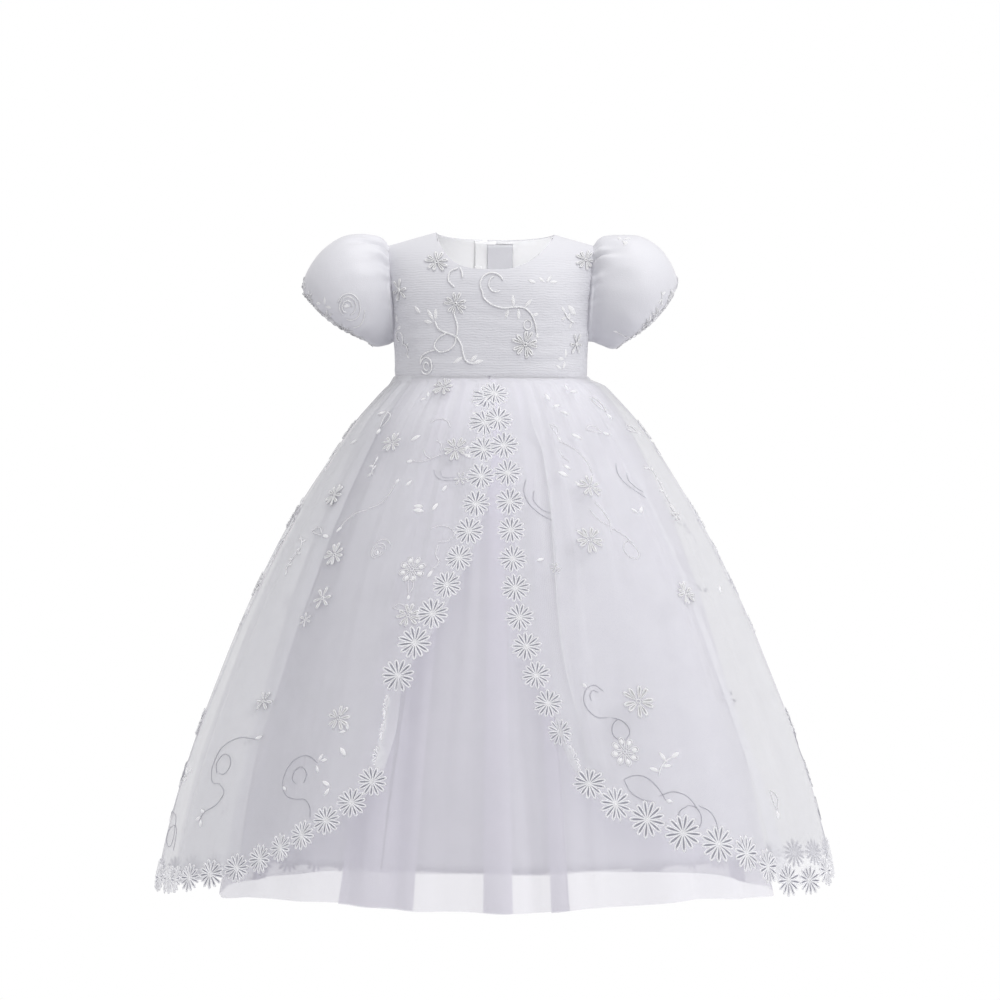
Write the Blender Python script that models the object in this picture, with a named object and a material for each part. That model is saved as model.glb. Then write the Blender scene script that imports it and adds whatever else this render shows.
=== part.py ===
"""Infant's christening gown, filled out as if worn but with no wearer.

Every piece of cloth is a closed wall about 1 mm thick. The front faces -Y, the wearer's left is +X,
and the origin lies between the shoulders, where the wearer carries the gown. Sizes are in
millimetres and are turned into metres as each mesh is made.
"""

from collections import namedtuple
import math

import bmesh
import bpy
from mathutils import Vector
from mathutils.bvhtree import BVHTree

MM = 0.001

CLOTH = 1.2  # wall of bodice and sleeves
NET = 1.0  # wall of each skirt layer
SEAM = 0.3  # gap between neighbouring pieces
WAIST_Z = -139.0
BACK_CENTRE_X = -6.0  # the back seam and zip hang a little to one side

# ---------------------------------------------------------------- bodice sizes
BodiceRow = namedtuple("BodiceRow", "z half_width front_depth back_depth")
BODICE = [
    BodiceRow(-139, 91.0, 73.5, 73.5),
    BodiceRow(-107, 92.0, 72.5, 72.0),
    BodiceRow(-80, 95.5, 71.0, 69.5),
    BodiceRow(-50, 99.5, 69.0, 66.0),
    BodiceRow(-13, 103.3, 66.0, 62.0),
    BodiceRow(12, 105.0, 64.0, 60.0),
]
BODICE_ROUNDNESS = 2.5
SHOULDER_PEAK_Z = 10.0
SHOULDER_TIP_X = 97.0
SHOULDER_TIP_Z = -13.0
SHOULDER_BEND = 20.0  # how gently the shoulder line turns over at the middle
FRONT_ROUNDING = 70.0  # height over which the chest turns into the shoulder
BACK_ROUNDING = 60.0
UNDERARM_Z = -104.0
ARMHOLE_ANGLE_TOP = 70.0
ARMHOLE_ANGLE_LOW = 73.0
ARMHOLE_TURN = 0.55  # part of the armhole's height above its round lower end
NECK_CENTRE_X = 3.8
NECK_HALF_WIDTH = 56.0
NECK_SQUARENESS = {-1: 4.0, 1: 2.3}  # squarer on the wearer's right
FRONT_NECK_DROP = 37.0
BACK_NECK_DROP = 4.0
ARMHOLE_COLUMNS = 8
SHOULDER_COLUMNS = 3
FRONT_NECK_COLUMNS = 10
BACK_NECK_COLUMNS = 3
FRONT_ROWS = 8
BACK_ROWS = 7

# ---------------------------------------------------------------- sleeve sizes
SleeveRing = namedtuple("SleeveRing", "top_x top_z bottom_x bottom_z half_depth gather bow")
SLEEVE_RIGHT = [
    SleeveRing(106, -5.0, 96.5, -106.5, 38, 1.1, 0.0),
    SleeveRing(122, -1.8, 100.0, -107.5, 46, 0.8, 0.0),
    SleeveRing(142, -4.8, 104.0, -108.5, 51, 0.3, 0.6),
    SleeveRing(161, -18.0, 108.0, -109.0, 52, 0.0, 1.8),
    SleeveRing(174, -36.0, 111.5, -108.5, 48, 0.5, 3.6),
    SleeveRing(178.5, -50.5, 113.5, -106.5, 40, 1.1, 5.2),
    SleeveRing(176.8, -58.3, 114.8, -102.0, 32, 1.4, 6.4),
]
SLEEVE_LEFT = [
    SleeveRing(106, -5.0, 97.0, -104.5, 38, 1.1, 0.0),
    SleeveRing(122, -2.8, 102.0, -106.5, 46, 0.8, 0.0),
    SleeveRing(142, -4.2, 107.0, -108.5, 51, 0.3, 0.6),
    SleeveRing(160, -15.0, 112.0, -110.5, 52, 0.0, 1.6),
    SleeveRing(172, -32.0, 116.5, -111.0, 48, 0.5, 3.2),
    SleeveRing(177.0, -48.0, 120.0, -109.5, 40, 1.1, 4.6),
    SleeveRing(172.0, -59.0, 121.8, -105.0, 32, 1.4, 5.6),
]
SLEEVE_POINTS = 32
CUFF_LACE_WIDTH = 6.0
CUFF_SCALLOP = 2.2
CUFF_FLARE = 1.5

# ---------------------------------------------------------------- skirt sizes
SkirtRow = namedtuple(
    "SkirtRow",
    "drop over_width over_depth net_width net_depth lining_width lining_depth",
)
SKIRTS = [
    SkirtRow(0, 93.0, 73.5, 90.0, 71.5, 88.0, 69.5),
    SkirtRow(7, 102.5, 82.0, 97.0, 78.5, 94.0, 75.5),
    SkirtRow(22, 117.0, 96.0, 109.0, 91.0, 104.0, 86.0),
    SkirtRow(40, 133.0, 109.0, 121.5, 103.0, 115.0, 97.0),
    SkirtRow(70, 154.0, 125.0, 138.0, 117.5, 130.0, 110.0),
    SkirtRow(115, 182.0, 145.0, 159.0, 135.0, 149.0, 126.0),
    SkirtRow(160, 207.0, 163.0, 177.0, 149.0, 165.5, 138.5),
    SkirtRow(220, 236.0, 184.0, 198.0, 164.0, 185.0, 153.0),
    SkirtRow(280, 261.0, 203.0, 216.0, 177.0, 202.0, 165.5),
    SkirtRow(340, 284.0, 220.0, 232.0, 189.5, 218.0, 177.5),
    SkirtRow(400, 303.0, 235.0, 246.0, 201.0, 233.0, 189.0),
    SkirtRow(455, 316.0, 245.0, 257.0, 211.0, 247.0, 199.0),
    SkirtRow(500, 323.0, 251.0, 265.0, 218.0, 257.0, 207.0),
]
SKIRT_ROUNDNESS_TOP = 2.5
SKIRT_ROUNDNESS_LOW = 2.1
SKIRT_ROUNDNESS_DROP = 90.0
OVER_HEM = 475.0
NET_HEM = 489.0
LINING_HEM = 454.0
HEM_RISE = {"net": 7.0, "lining": 3.0}  # midway between front, side and back
SKIRT_SHIFT = 5.0  # the skirts hang a little towards the wearer's left
SKIRT_SHIFT_DROP = 7.0
FOLD_GROWTH = 0.95

Fold = namedtuple("Fold", "angle depth spread start")
OVER_FOLDS = [
    Fold(9, 4.0, 9, 90),
    Fold(25, -7.0, 10, 170),
    Fold(40, 8.5, 11, 90),
    Fold(57, -8.0, 10, 160),
    Fold(72, 6.0, 10, 100),
    Fold(104, 9.0, 12, 80),
    Fold(122, -9.0, 11, 140),
    Fold(138, 9.5, 11, 60),
    Fold(154, -8.0, 10, 120),
    Fold(169, 8.0, 11, 50),
    Fold(-11, 4.0, 9, 120),
    Fold(-30, 9.0, 10, 110),
    Fold(-46, -8.0, 10, 150),
    Fold(-62, 7.5, 11, 80),
    Fold(-79, -4.5, 9, 180),
    Fold(-101, 9.0, 11, 70),
    Fold(-119, -8.5, 11, 150),
    Fold(-135, 9.0, 11, 60),
    Fold(-152, -8.5, 10, 130),
    Fold(-168, 7.5, 10, 70),
]
NET_FOLDS = [
    Fold(1, 9.0, 7, 40),
    Fold(14, 8.0, 6, 70),
    Fold(26, -3.5, 8, 160),
    Fold(38, 7.0, 8, 90),
    Fold(55, 6.0, 8, 150),
    Fold(71, 5.0, 8, 120),
    Fold(-16, 8.0, 6, 90),
    Fold(-26, 7.0, 6, 130),
    Fold(-41, 6.5, 8, 80),
    Fold(-57, 5.5, 8, 160),
    Fold(-73, 5.0, 8, 110),
    Fold(105, 7.0, 10, 80),
    Fold(123, 6.0, 9, 140),
    Fold(141, 7.5, 10, 70),
    Fold(160, 6.5, 9, 120),
    Fold(180, 7.0, 10, 90),
    Fold(-107, 6.5, 10, 90),
    Fold(-125, 7.0, 9, 130),
    Fold(-143, 6.5, 10, 60),
    Fold(-161, 6.0, 9, 110),
]

# The open front edge of the overskirt, from waist to knee, then the curved hem to the side.
EdgePoint = namedtuple("EdgePoint", "angle drop")
LEFT_EDGE = [
    EdgePoint(-0.9, 0),
    EdgePoint(0.9, 40),
    EdgePoint(4.2, 66),
    EdgePoint(4.7, 115),
    EdgePoint(4.8, 170),
    EdgePoint(5.6, 220),
    EdgePoint(7.6, 262),
    EdgePoint(10.8, 305),
    EdgePoint(13.0, 345),
    EdgePoint(15.0, 368),
]
LEFT_HEM = [
    EdgePoint(15.0, 368),
    EdgePoint(18.5, 386),
    EdgePoint(24.0, 401),
    EdgePoint(30.0, 414),
    EdgePoint(37.0, 428),
    EdgePoint(45.0, 440),
    EdgePoint(51.5, 449),
    EdgePoint(57.0, 466),
    EdgePoint(62.0, 473),
    EdgePoint(68.0, 468),
    EdgePoint(76.0, 459),
    EdgePoint(90.0, 453),
    EdgePoint(112.0, 461),
    EdgePoint(135.0, 471),
    EdgePoint(180.0, OVER_HEM),
]
RIGHT_EDGE = [
    EdgePoint(-1.5, 0),
    EdgePoint(-1.3, 60),
    EdgePoint(-2.0, 92),
    EdgePoint(-4.4, 140),
    EdgePoint(-8.8, 188),
    EdgePoint(-14.0, 238),
    EdgePoint(-19.0, 280),
    EdgePoint(-19.8, 320),
    EdgePoint(-20.5, 358),
]
RIGHT_HEM = [
    EdgePoint(-20.5, 358),
    EdgePoint(-23.0, 382),
    EdgePoint(-27.0, 400),
    EdgePoint(-31.5, 416),
    EdgePoint(-36.5, 429),
    EdgePoint(-42.5, 442),
    EdgePoint(-50.0, 456),
    EdgePoint(-58.0, 465),
    EdgePoint(-68.0, 471),
    EdgePoint(-90.0, OVER_HEM),
    EdgePoint(-180.0, OVER_HEM),
]
OVER_COLUMNS = 34
# How far down each row of the overskirt lies, as a share of the way to the hem.
OVER_ROWS = (0.0, 0.015, 0.045, 0.10, 0.18, 0.29, 0.43, 0.59, 0.78, 1.0)
NET_COLUMNS = {"front": 40, "back": 30}
NET_ROWS = 7
LINING_COLUMNS = 14
LINING_ROWS = 5
ROW_CROWDING = 1.5  # rows lie closer together near the waist

# Where an edge of the overskirt turns under, seen edge-on from the front.
Curl = namedtuple("Curl", "side depth centre_drop half_length reach")
CURLS = [
    Curl("right", 15.0, 322, 52, 16.0),
    Curl("left", 10.0, 350, 46, 16.0),
]

# ---------------------------------------------------------------- daisy lace sizes
DAISY_RADIUS = 13.4
DAISY_VALLEY = 9.0
DAISY_PETALS = 12
DAISY_PITCH = 28.2
DAISY_THICK = 1.2
DAISY_CENTRE_RISE = 0.9
DAISY_LIFT = 1.4
DAISY_OVERLAP_LIFT = 2.6
OVERLAP_ENDS_AT = 112.0
OVERLAP_FADE = 34.0
TRIM_INSET = 2.5
TRIM_START = 17.0
GUIDE_MARGIN = 0.9  # how far the guide surface runs past the cloth's edge, in cells

# ---------------------------------------------------------------- zip and small pieces
ZIP_CHAIN_HALF = 2.1
ZIP_TAPE_HALF = 10.0
ZIP_TAPE_THICK = 0.8
ZIP_BEHIND = 0.5
ZIP_TOP_GAP = 0.06  # share of the back seam left bare above the chain
GUARD_WIDTH = 25.0
GUARD_THICK = 1.0
TAB_SIZE = (7.0, 9.0)
TAB_TOP_Z = -26.5
TAB_X = -16.5
SLIDER_Z = -19.5
SLIDER = {"half_width": 3.5, "half_length": 5.0, "lift": 0.5, "thick": 2.0}
ARCH = {"half_width": 0.7, "half_length": 3.5, "leg": 1.0, "rise": 3.0, "bar": 0.8}
PULL = {
    "half_width": 2.5,
    "eye_half_width": 1.3,
    "eye_length": 5.0,
    "bar": 1.0,
    "length": 19.0,
    "thick": 1.0,
}


# ---------------------------------------------------------------- numbers
def slopes_of(xs, ys):
    """Slopes at table rows that keep a curve through them from overshooting."""
    steps = [(ys[i + 1] - ys[i]) / (xs[i + 1] - xs[i]) for i in range(len(xs) - 1)]
    slopes = [steps[0]]
    for before, after in zip(steps, steps[1:]):
        slopes.append(0.0 if before * after <= 0 else 2 / (1 / before + 1 / after))
    slopes.append(steps[-1])
    return slopes


def curve_through(xs, ys):
    """A smooth function through the rows of a table, straight beyond its ends."""
    slopes = slopes_of(xs, ys)

    def value(x):
        if x <= xs[0]:
            return ys[0] + slopes[0] * (x - xs[0])
        if x >= xs[-1]:
            return ys[-1] + slopes[-1] * (x - xs[-1])
        i = max(k for k in range(len(xs) - 1) if xs[k] <= x)
        span = xs[i + 1] - xs[i]
        u = (x - xs[i]) / span
        return (
            ys[i] * (1 + 2 * u) * (1 - u) ** 2
            + slopes[i] * span * u * (1 - u) ** 2
            + ys[i + 1] * u * u * (3 - 2 * u)
            - slopes[i + 1] * span * u * u * (1 - u)
        )

    return value


def column_curve(rows, key, column):
    return curve_through([getattr(r, key) for r in rows], [getattr(r, column) for r in rows])


def superellipse_depth(sine, power):
    return max(0.0, 1 - abs(sine) ** power) ** (1 / power)


def smoothstep(x):
    x = min(1.0, max(0.0, x))
    return x * x * (3 - 2 * x)


# ---------------------------------------------------------------- walls
def facet_normals(grid, around):
    """A unit normal at each point of a grid, pointing to its outer side."""
    rows, columns = len(grid), len(grid[0])
    normals = []
    for j in range(rows):
        line = []
        for i in range(columns):
            if around:
                along = grid[j][(i + 1) % columns] - grid[j][i - 1]
            else:
                along = grid[j][min(i + 1, columns - 1)] - grid[j][max(i - 1, 0)]
            down = grid[min(j + 1, rows - 1)][i] - grid[max(j - 1, 0)][i]
            line.append(down.cross(along).normalized())
        normals.append(line)
    return normals


def square_up(grid, normals, seams):
    """Turns the wall square to each seam plane, so that neighbours meet face to face."""
    for axis, place in seams:
        for line, normal_line in zip(grid, normals):
            for i, point in enumerate(line):
                if abs(point[axis] - place) < 0.02:
                    normal_line[i][axis] = 0.0
                    normal_line[i].normalize()


def cell_triangles(grid, around):
    """Two triangles for each cell of a grid, split along the cell's shorter diagonal."""
    rows, columns = len(grid), len(grid[0])
    triangles = []
    for j in range(rows - 1):
        for i in range(columns if around else columns - 1):
            k = (i + 1) % columns
            a, b = j * columns + i, j * columns + k
            c, d = (j + 1) * columns + k, (j + 1) * columns + i
            falling = (grid[j][i] - grid[j + 1][k]).length
            rising = (grid[j][k] - grid[j + 1][i]).length
            if falling <= rising:
                triangles += [(a, d, c), (a, c, b)]
            else:
                triangles += [(a, d, b), (b, d, c)]
    return triangles


def wall_mesh(outer, inner, around):
    """Vertices and triangles of the closed wall between two grids of the same layout."""
    rows, columns = len(outer), len(outer[0])
    points = [p for line in outer for p in line] + [p for line in inner for p in line]
    second = rows * columns
    faces = cell_triangles(outer, around)
    faces += [(second + a, second + c, second + b) for a, b, c in faces]

    def quad(a, b, c, d):
        faces.append((a, b, c))
        faces.append((a, c, d))

    last = (rows - 1) * columns
    for i in range(columns if around else columns - 1):
        k = (i + 1) % columns
        quad(i, k, second + k, second + i)
        quad(last + k, last + i, second + last + i, second + last + k)
    if not around:
        for j in range(rows - 1):
            a, d = j * columns, (j + 1) * columns
            quad(a, second + a, second + d, d)
            b, c = a + columns - 1, d + columns - 1
            quad(b, c, second + c, second + b)
    return points, faces


def make_object(name, points, faces, material, origin=Vector((0, 0, 0))):
    """An object from points in millimetres, with its own origin."""
    mesh = bpy.data.meshes.new(name)
    mesh.from_pydata([(p - origin) * MM for p in points], [], faces)
    mesh.materials.append(material)
    shape = bmesh.new()
    shape.from_mesh(mesh)
    bmesh.ops.recalc_face_normals(shape, faces=shape.faces)
    shape.to_mesh(mesh)
    shape.free()
    part = bpy.data.objects.new(name, mesh)
    part.location = origin * MM
    bpy.context.scene.collection.objects.link(part)
    return part


def make_wall(name, outer, thickness, material, around=False, seams=()):
    """A wall whose outer side is the grid. Rows run downwards, columns towards the grid's right."""
    normals = facet_normals(outer, around)
    square_up(outer, normals, seams)
    inner = [
        [p - n * thickness for p, n in zip(line, normal_line)]
        for line, normal_line in zip(outer, normals)
    ]
    points, faces = wall_mesh(outer, inner, around)
    return make_object(name, points, faces, material)


def cloth_material(name, colour, roughness):
    material = bpy.data.materials.new(name)
    material.use_nodes = True
    shader = material.node_tree.nodes["Principled BSDF"]
    shader.inputs["Base Color"].default_value = (*colour, 1.0)
    shader.inputs["Roughness"].default_value = roughness
    shader.inputs["Metallic"].default_value = 0.0
    return material


# ---------------------------------------------------------------- bodice
bodice_half_width = column_curve(BODICE, "z", "half_width")
bodice_depth = {
    "front": column_curve(BODICE, "z", "front_depth"),
    "back": column_curve(BODICE, "z", "back_depth"),
}
ROUNDING = {"front": FRONT_ROUNDING, "back": BACK_ROUNDING}
FACING = {"front": -1.0, "back": 1.0}


def shoulder_z(x):
    reach = math.hypot(x, SHOULDER_BEND) - SHOULDER_BEND
    whole = math.hypot(SHOULDER_TIP_X, SHOULDER_BEND) - SHOULDER_BEND
    return SHOULDER_PEAK_Z + (SHOULDER_TIP_Z - SHOULDER_PEAK_Z) * reach / whole


def bodice_point(panel, angle, z):
    """A point on the bodice: angle 0 is the middle of the panel and 90 degrees is the side."""
    sine = math.sin(math.radians(angle))
    x = bodice_half_width(z) * sine
    below = max(0.0, shoulder_z(x) - z) / ROUNDING[panel]
    rounding = math.sqrt(1 - (1 - min(below, 1.0)) ** 2)
    depth = bodice_depth[panel](z) * superellipse_depth(sine, BODICE_ROUNDNESS) * rounding
    return Vector((x, FACING[panel] * (depth + SEAM / 2), z))


def armhole_place(turn):
    """(angle, z) on the armhole: turn 0 is the shoulder tip and 180 degrees is the underarm."""
    down = (1 - math.cos(math.radians(turn))) / 2
    z = SHOULDER_TIP_Z + (UNDERARM_Z - SHOULDER_TIP_Z) * down
    angle = ARMHOLE_ANGLE_TOP + (ARMHOLE_ANGLE_LOW - ARMHOLE_ANGLE_TOP) * down
    low = max(0.0, down - ARMHOLE_TURN) / (1 - ARMHOLE_TURN)
    bend = 1 - math.sqrt(max(0.0, 1 - low * low))
    return angle + (90.0 - angle) * bend, z


def angle_at(x, z):
    return math.degrees(math.asin(x / bodice_half_width(z)))


def neck_place(panel, across):
    """(angle, z) on the neck edge: across runs from -1 to 1 between the two neck points."""
    drop = {"front": FRONT_NECK_DROP, "back": BACK_NECK_DROP}[panel]
    x = NECK_CENTRE_X + NECK_HALF_WIDTH * across
    right_end, left_end = (shoulder_z(NECK_CENTRE_X + side * NECK_HALF_WIDTH) for side in (-1, 1))
    end = right_end + (left_end - right_end) * (1 + across) / 2
    power = NECK_SQUARENESS[1 if across > 0 else -1]
    z = end - drop * max(0.0, 1 - abs(across) ** power) ** 0.8
    return angle_at(x, z), z


def shoulder_place(side, share):
    """(angle, z) on the shoulder seam: share 0 is the tip and 1 is the neck point."""
    neck_x = NECK_CENTRE_X + side * NECK_HALF_WIDTH
    x = side * SHOULDER_TIP_X * (1 - share) + neck_x * share
    z = shoulder_z(x)
    return angle_at(x, z), z


def half_top(side):
    """The panel's upper edge from the underarm over armhole and shoulder, up to the neck point."""
    places = []
    for i in range(ARMHOLE_COLUMNS + 1):
        angle, z = armhole_place(180.0 * (1 - i / ARMHOLE_COLUMNS))
        places.append((side * angle, z))
    for i in range(1, SHOULDER_COLUMNS + 1):
        places.append(shoulder_place(side, i / SHOULDER_COLUMNS))
    return places


def waist_angles(places):
    """Where each column stands on the waist: spread evenly, and drawn towards its upper end."""
    first, last = places[0][0], places[-1][0]
    count = len(places) - 1
    spread = [first + (last - first) * i / count for i in range(count + 1)]
    return [0.6 * even + 0.4 * place[0] for even, place in zip(spread, places)]


def bodice_grid(panel, places, feet, rows):
    """Rows from the upper edge down to the waist, crowded where the shoulder rounds over."""
    grid = []
    for j in range(rows + 1):
        rise = math.sin(math.radians(90.0 * (1 - j / rows)))
        line = []
        for (angle, z), foot in zip(places, feet):
            line.append(
                bodice_point(panel, foot + (angle - foot) * rise, WAIST_Z + (z - WAIST_Z) * rise)
            )
        grid.append(line)
    return grid


def make_bodice_front(material):
    right = half_top(-1)
    left = half_top(1)[::-1]
    neck = [
        neck_place("front", -1 + 2 * i / FRONT_NECK_COLUMNS) for i in range(1, FRONT_NECK_COLUMNS)
    ]
    places = right + neck + left
    grid = bodice_grid("front", places, waist_angles(places), FRONT_ROWS)
    return make_wall("bodice_front", grid, CLOTH, material, seams=[(1, -SEAM / 2)])


def back_edge_places(side):
    """One back panel's upper edge, from underarm to the zip."""
    edge_x = BACK_CENTRE_X + side * (ZIP_CHAIN_HALF + SEAM)
    end = (edge_x - NECK_CENTRE_X) / NECK_HALF_WIDTH
    places = half_top(side)
    for i in range(1, BACK_NECK_COLUMNS + 1):
        places.append(neck_place("back", side + (end - side) * i / BACK_NECK_COLUMNS))
    return places, edge_x


def back_panel_grid(side):
    places, edge_x = back_edge_places(side)
    feet = waist_angles(places)
    feet[-1] = angle_at(edge_x, WAIST_Z)
    grid = bodice_grid("back", places, feet, BACK_ROWS)
    for line in grid:
        line[-1].x = edge_x
    return grid, edge_x


def make_bodice_back(name, side, material):
    grid, edge_x = back_panel_grid(side)
    if side > 0:
        grid = [line[:] for line in grid]
    else:
        grid = [line[::-1] for line in grid]
    return make_wall(name, grid, CLOTH, material, seams=[(1, SEAM / 2), (0, edge_x)])


# ---------------------------------------------------------------- sleeves
def armhole_loop(side):
    """The armhole as the bodice's facets have it, from the tip down the front and up the back."""
    corners = []
    for panel, turns in (("front", range(ARMHOLE_COLUMNS)), ("back", range(ARMHOLE_COLUMNS, 0, -1))):
        for i in turns:
            angle, z = armhole_place(180.0 * i / ARMHOLE_COLUMNS)
            corners.append(bodice_point(panel, side * angle, z))
    loop = []
    for here, after in zip(corners, corners[1:] + corners[:1]):
        loop.append(here)
        loop.append((here + after) / 2)
    return loop


def sleeve_gather(ring, index, last):
    """Small in and out steps: over the cap near the armhole, and all round near the cuff."""
    cap = max(0.0, math.cos(2 * math.pi * index / SLEEVE_POINTS))
    share = cap if not last else 1.0
    return ring.gather * share * (1 if index % 2 else -1)


def cuff_direction(ring, side):
    """Down the arm, square to a ring of the sleeve."""
    rise = Vector((side * (ring.top_x - ring.bottom_x), 0, ring.top_z - ring.bottom_z))
    return Vector((side * abs(rise.z), 0, -abs(rise.x))).normalized()


def sleeve_ring(ring, side, last):
    """One ring of a sleeve. Its front and back hang lower than its two ends."""
    top = Vector((side * ring.top_x, 0, ring.top_z))
    bottom = Vector((side * ring.bottom_x, 0, ring.bottom_z))
    centre = (top + bottom) / 2
    away = cuff_direction(ring, side)
    points = []
    for i in range(SLEEVE_POINTS):
        turn = 2 * math.pi * i / SLEEVE_POINTS
        offset = (top - centre) * math.cos(turn)
        offset.y = -ring.half_depth * math.sin(turn)
        bow = away * ring.bow * math.sin(turn) ** 2
        points.append(centre + offset + offset.normalized() * sleeve_gather(ring, i, last) + bow)
    return points


def sleeve_grid(side):
    rings = SLEEVE_LEFT if side > 0 else SLEEVE_RIGHT
    first = [p + Vector((side * SEAM, 0, 0)) for p in armhole_loop(side)]
    grid = [first]
    for number, ring in enumerate(rings):
        grid.append(sleeve_ring(ring, side, number >= len(rings) // 2))
    return grid


def facing_out(grid, side):
    """Orders a tube's columns so that its outer side faces away from its middle."""
    return [line[::-1] for line in grid] if side > 0 else grid


def make_sleeve(name, side, material):
    return make_wall(name, facing_out(sleeve_grid(side), side), CLOTH, material, around=True)


def make_cuff_lace(name, side, material):
    """A narrow lace edge that goes on from the cuff and ends in small scallops."""
    cuff = sleeve_grid(side)[-1]
    away = cuff_direction((SLEEVE_LEFT if side > 0 else SLEEVE_RIGHT)[-1], side)
    centre = sum(cuff, Vector((0, 0, 0))) / len(cuff)
    upper = [p + away * SEAM for p in cuff]
    lower = []
    for i, p in enumerate(cuff):
        out = (p - centre).normalized() * CUFF_FLARE
        reach = CUFF_LACE_WIDTH - (CUFF_SCALLOP if i % 2 == 0 else 0.0)
        lower.append(p + away * (SEAM + reach) + out)
    grid = facing_out([upper, lower], side)
    return make_wall(name, grid, NET, material, around=True)


# ---------------------------------------------------------------- skirts
skirt_half = {
    layer: {
        "width": column_curve(SKIRTS, "drop", layer + "_width"),
        "depth": column_curve(SKIRTS, "drop", layer + "_depth"),
    }
    for layer in ("over", "net", "lining")
}
LAYER_FOLDS = {"over": OVER_FOLDS, "net": NET_FOLDS, "lining": []}
LAYER_HEM = {"over": OVER_HEM, "net": NET_HEM, "lining": LINING_HEM}


def fold_depth(layer, angle, drop):
    total = 0.0
    for fold in LAYER_FOLDS[layer]:
        away = abs((angle - fold.angle + 180) % 360 - 180) / fold.spread
        if away < 1 and drop > fold.start:
            grown = (drop - fold.start) / (LAYER_HEM[layer] - fold.start)
            total += fold.depth * (1 + math.cos(math.pi * away)) / 2 * grown**FOLD_GROWTH
    return total


def skirt_point(layer, angle, drop, turned_in=0.0):
    """A point on a skirt layer: angle 0 is the centre front and drop is measured from the waist."""
    width = skirt_half[layer]["width"](drop)
    depth = skirt_half[layer]["depth"](drop)
    shift = SKIRT_SHIFT * smoothstep(drop / SKIRT_SHIFT_DROP)
    if layer == "over":
        lean = math.degrees(math.asin((BACK_CENTRE_X - shift) / width))
        angle -= lean * (abs(angle) / 180) ** 4
    sine, cosine = math.sin(math.radians(angle)), math.cos(math.radians(angle))
    low = smoothstep(drop / SKIRT_ROUNDNESS_DROP)
    power = SKIRT_ROUNDNESS_TOP + (SKIRT_ROUNDNESS_LOW - SKIRT_ROUNDNESS_TOP) * low
    y = -math.copysign(depth * superellipse_depth(sine, power), cosine)
    out = Vector((width * sine, y, 0)).normalized()
    base = Vector((width * sine + shift, y, WAIST_Z - SEAM - drop))
    return base + out * (fold_depth(layer, angle, drop) - turned_in)


def path_along(points, share):
    """(angle, drop) at a share of the way along a table of edge points."""
    reach = [0.0]
    for here, after in zip(points, points[1:]):
        step = skirt_point("over", after.angle, after.drop) - skirt_point("over", here.angle, here.drop)
        reach.append(reach[-1] + step.length)
    angle = curve_through(reach, [p.angle for p in points])
    drop = curve_through(reach, [p.drop for p in points])
    return angle(reach[-1] * share), drop(reach[-1] * share)


def edge_curl(side_name, drop, across):
    """How far the front edge turns in, fading away from the edge."""
    total = 0.0
    for curl in CURLS:
        along = abs(drop - curl.centre_drop) / curl.half_length
        if curl.side == side_name and along < 1:
            total += curl.depth * (1 + math.cos(math.pi * along)) / 2 * math.exp(-across / curl.reach)
    return total


def over_place(side, share, grown):
    """(angle, drop) on one half of the overskirt: share 0 is the front edge, 1 the back seam."""
    edge = LEFT_EDGE if side > 0 else RIGHT_EDGE
    hem = LEFT_HEM if side > 0 else RIGHT_HEM
    knee = edge[-1]
    foot_angle, foot_drop = path_along(hem, share)
    top_angle = edge[0].angle + (side * 180.0 - edge[0].angle) * share
    edge_angle = column_curve(edge, "drop", "angle")(grown * knee.drop)
    straight = edge[0].angle + (knee.angle - edge[0].angle) * grown
    bow = (edge_angle - straight) * (1 - share) ** 4
    return top_angle + (foot_angle - top_angle) * grown + bow, foot_drop * grown


def over_grid(side):
    """Rows from waist to hem and columns from the front edge to the back seam."""
    side_name = "left" if side > 0 else "right"
    grid = []
    for grown in OVER_ROWS:
        edge_angle = over_place(side, 0.0, grown)[0]
        line = []
        for i in range(OVER_COLUMNS + 1):
            angle, drop = over_place(side, i / OVER_COLUMNS, grown)
            across = math.radians(abs(angle - edge_angle)) * skirt_half["over"]["width"](drop)
            line.append(skirt_point("over", angle, drop, edge_curl(side_name, drop, across)))
        line[-1].x = BACK_CENTRE_X + side * SEAM / 2
        grid.append(line)
    return grid


def make_overskirt(name, side, material):
    grid = over_grid(side)
    seam_x = BACK_CENTRE_X + side * SEAM / 2
    ordered = grid if side > 0 else [line[::-1] for line in grid]
    return make_wall(name, ordered, NET, material, seams=[(0, seam_x)])


def make_round_skirt(name, layer, panel, columns, rows, material):
    """A front or back panel of an under layer, between its two side seams."""
    start = -90.0 if panel == "front" else 90.0
    hem = LAYER_HEM[layer]
    grid = []
    for j in range(rows + 1):
        line = []
        for i in range(columns + 1):
            angle = start + 180.0 * i / columns
            rise = HEM_RISE[layer] * math.sin(math.radians(2 * angle)) ** 2
            drop = (hem - rise) * (j / rows) ** ROW_CROWDING
            point = skirt_point(layer, angle, drop)
            point.y += FACING[panel] * SEAM / 2
            line.append(point)
        grid.append(line)
    return make_wall(name, grid, NET, material, seams=[(1, FACING[panel] * SEAM / 2)])


# ---------------------------------------------------------------- daisy lace
def stretched(grid, margin):
    """The grid with one more row and column past the front edge and the hem."""
    wide = []
    for line in grid:
        wide.append([line[0] + (line[0] - line[1]) * margin] + line)
    wide.append([p + (p - q) * margin for p, q in zip(wide[-1], wide[-2])])
    return wide


def guide_surface(grid):
    """The cloth's own facets, run on past its edges, for lace to lie on."""
    wide = stretched(grid, GUIDE_MARGIN)
    points = [p for line in wide for p in line]
    return BVHTree.FromPolygons(points, cell_triangles(wide, False))


def boundary_route(grid):
    """The free edge of one half of the overskirt: down its front edge and round its hem."""
    return [line[0] for line in grid] + grid[-1][1:]


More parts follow.
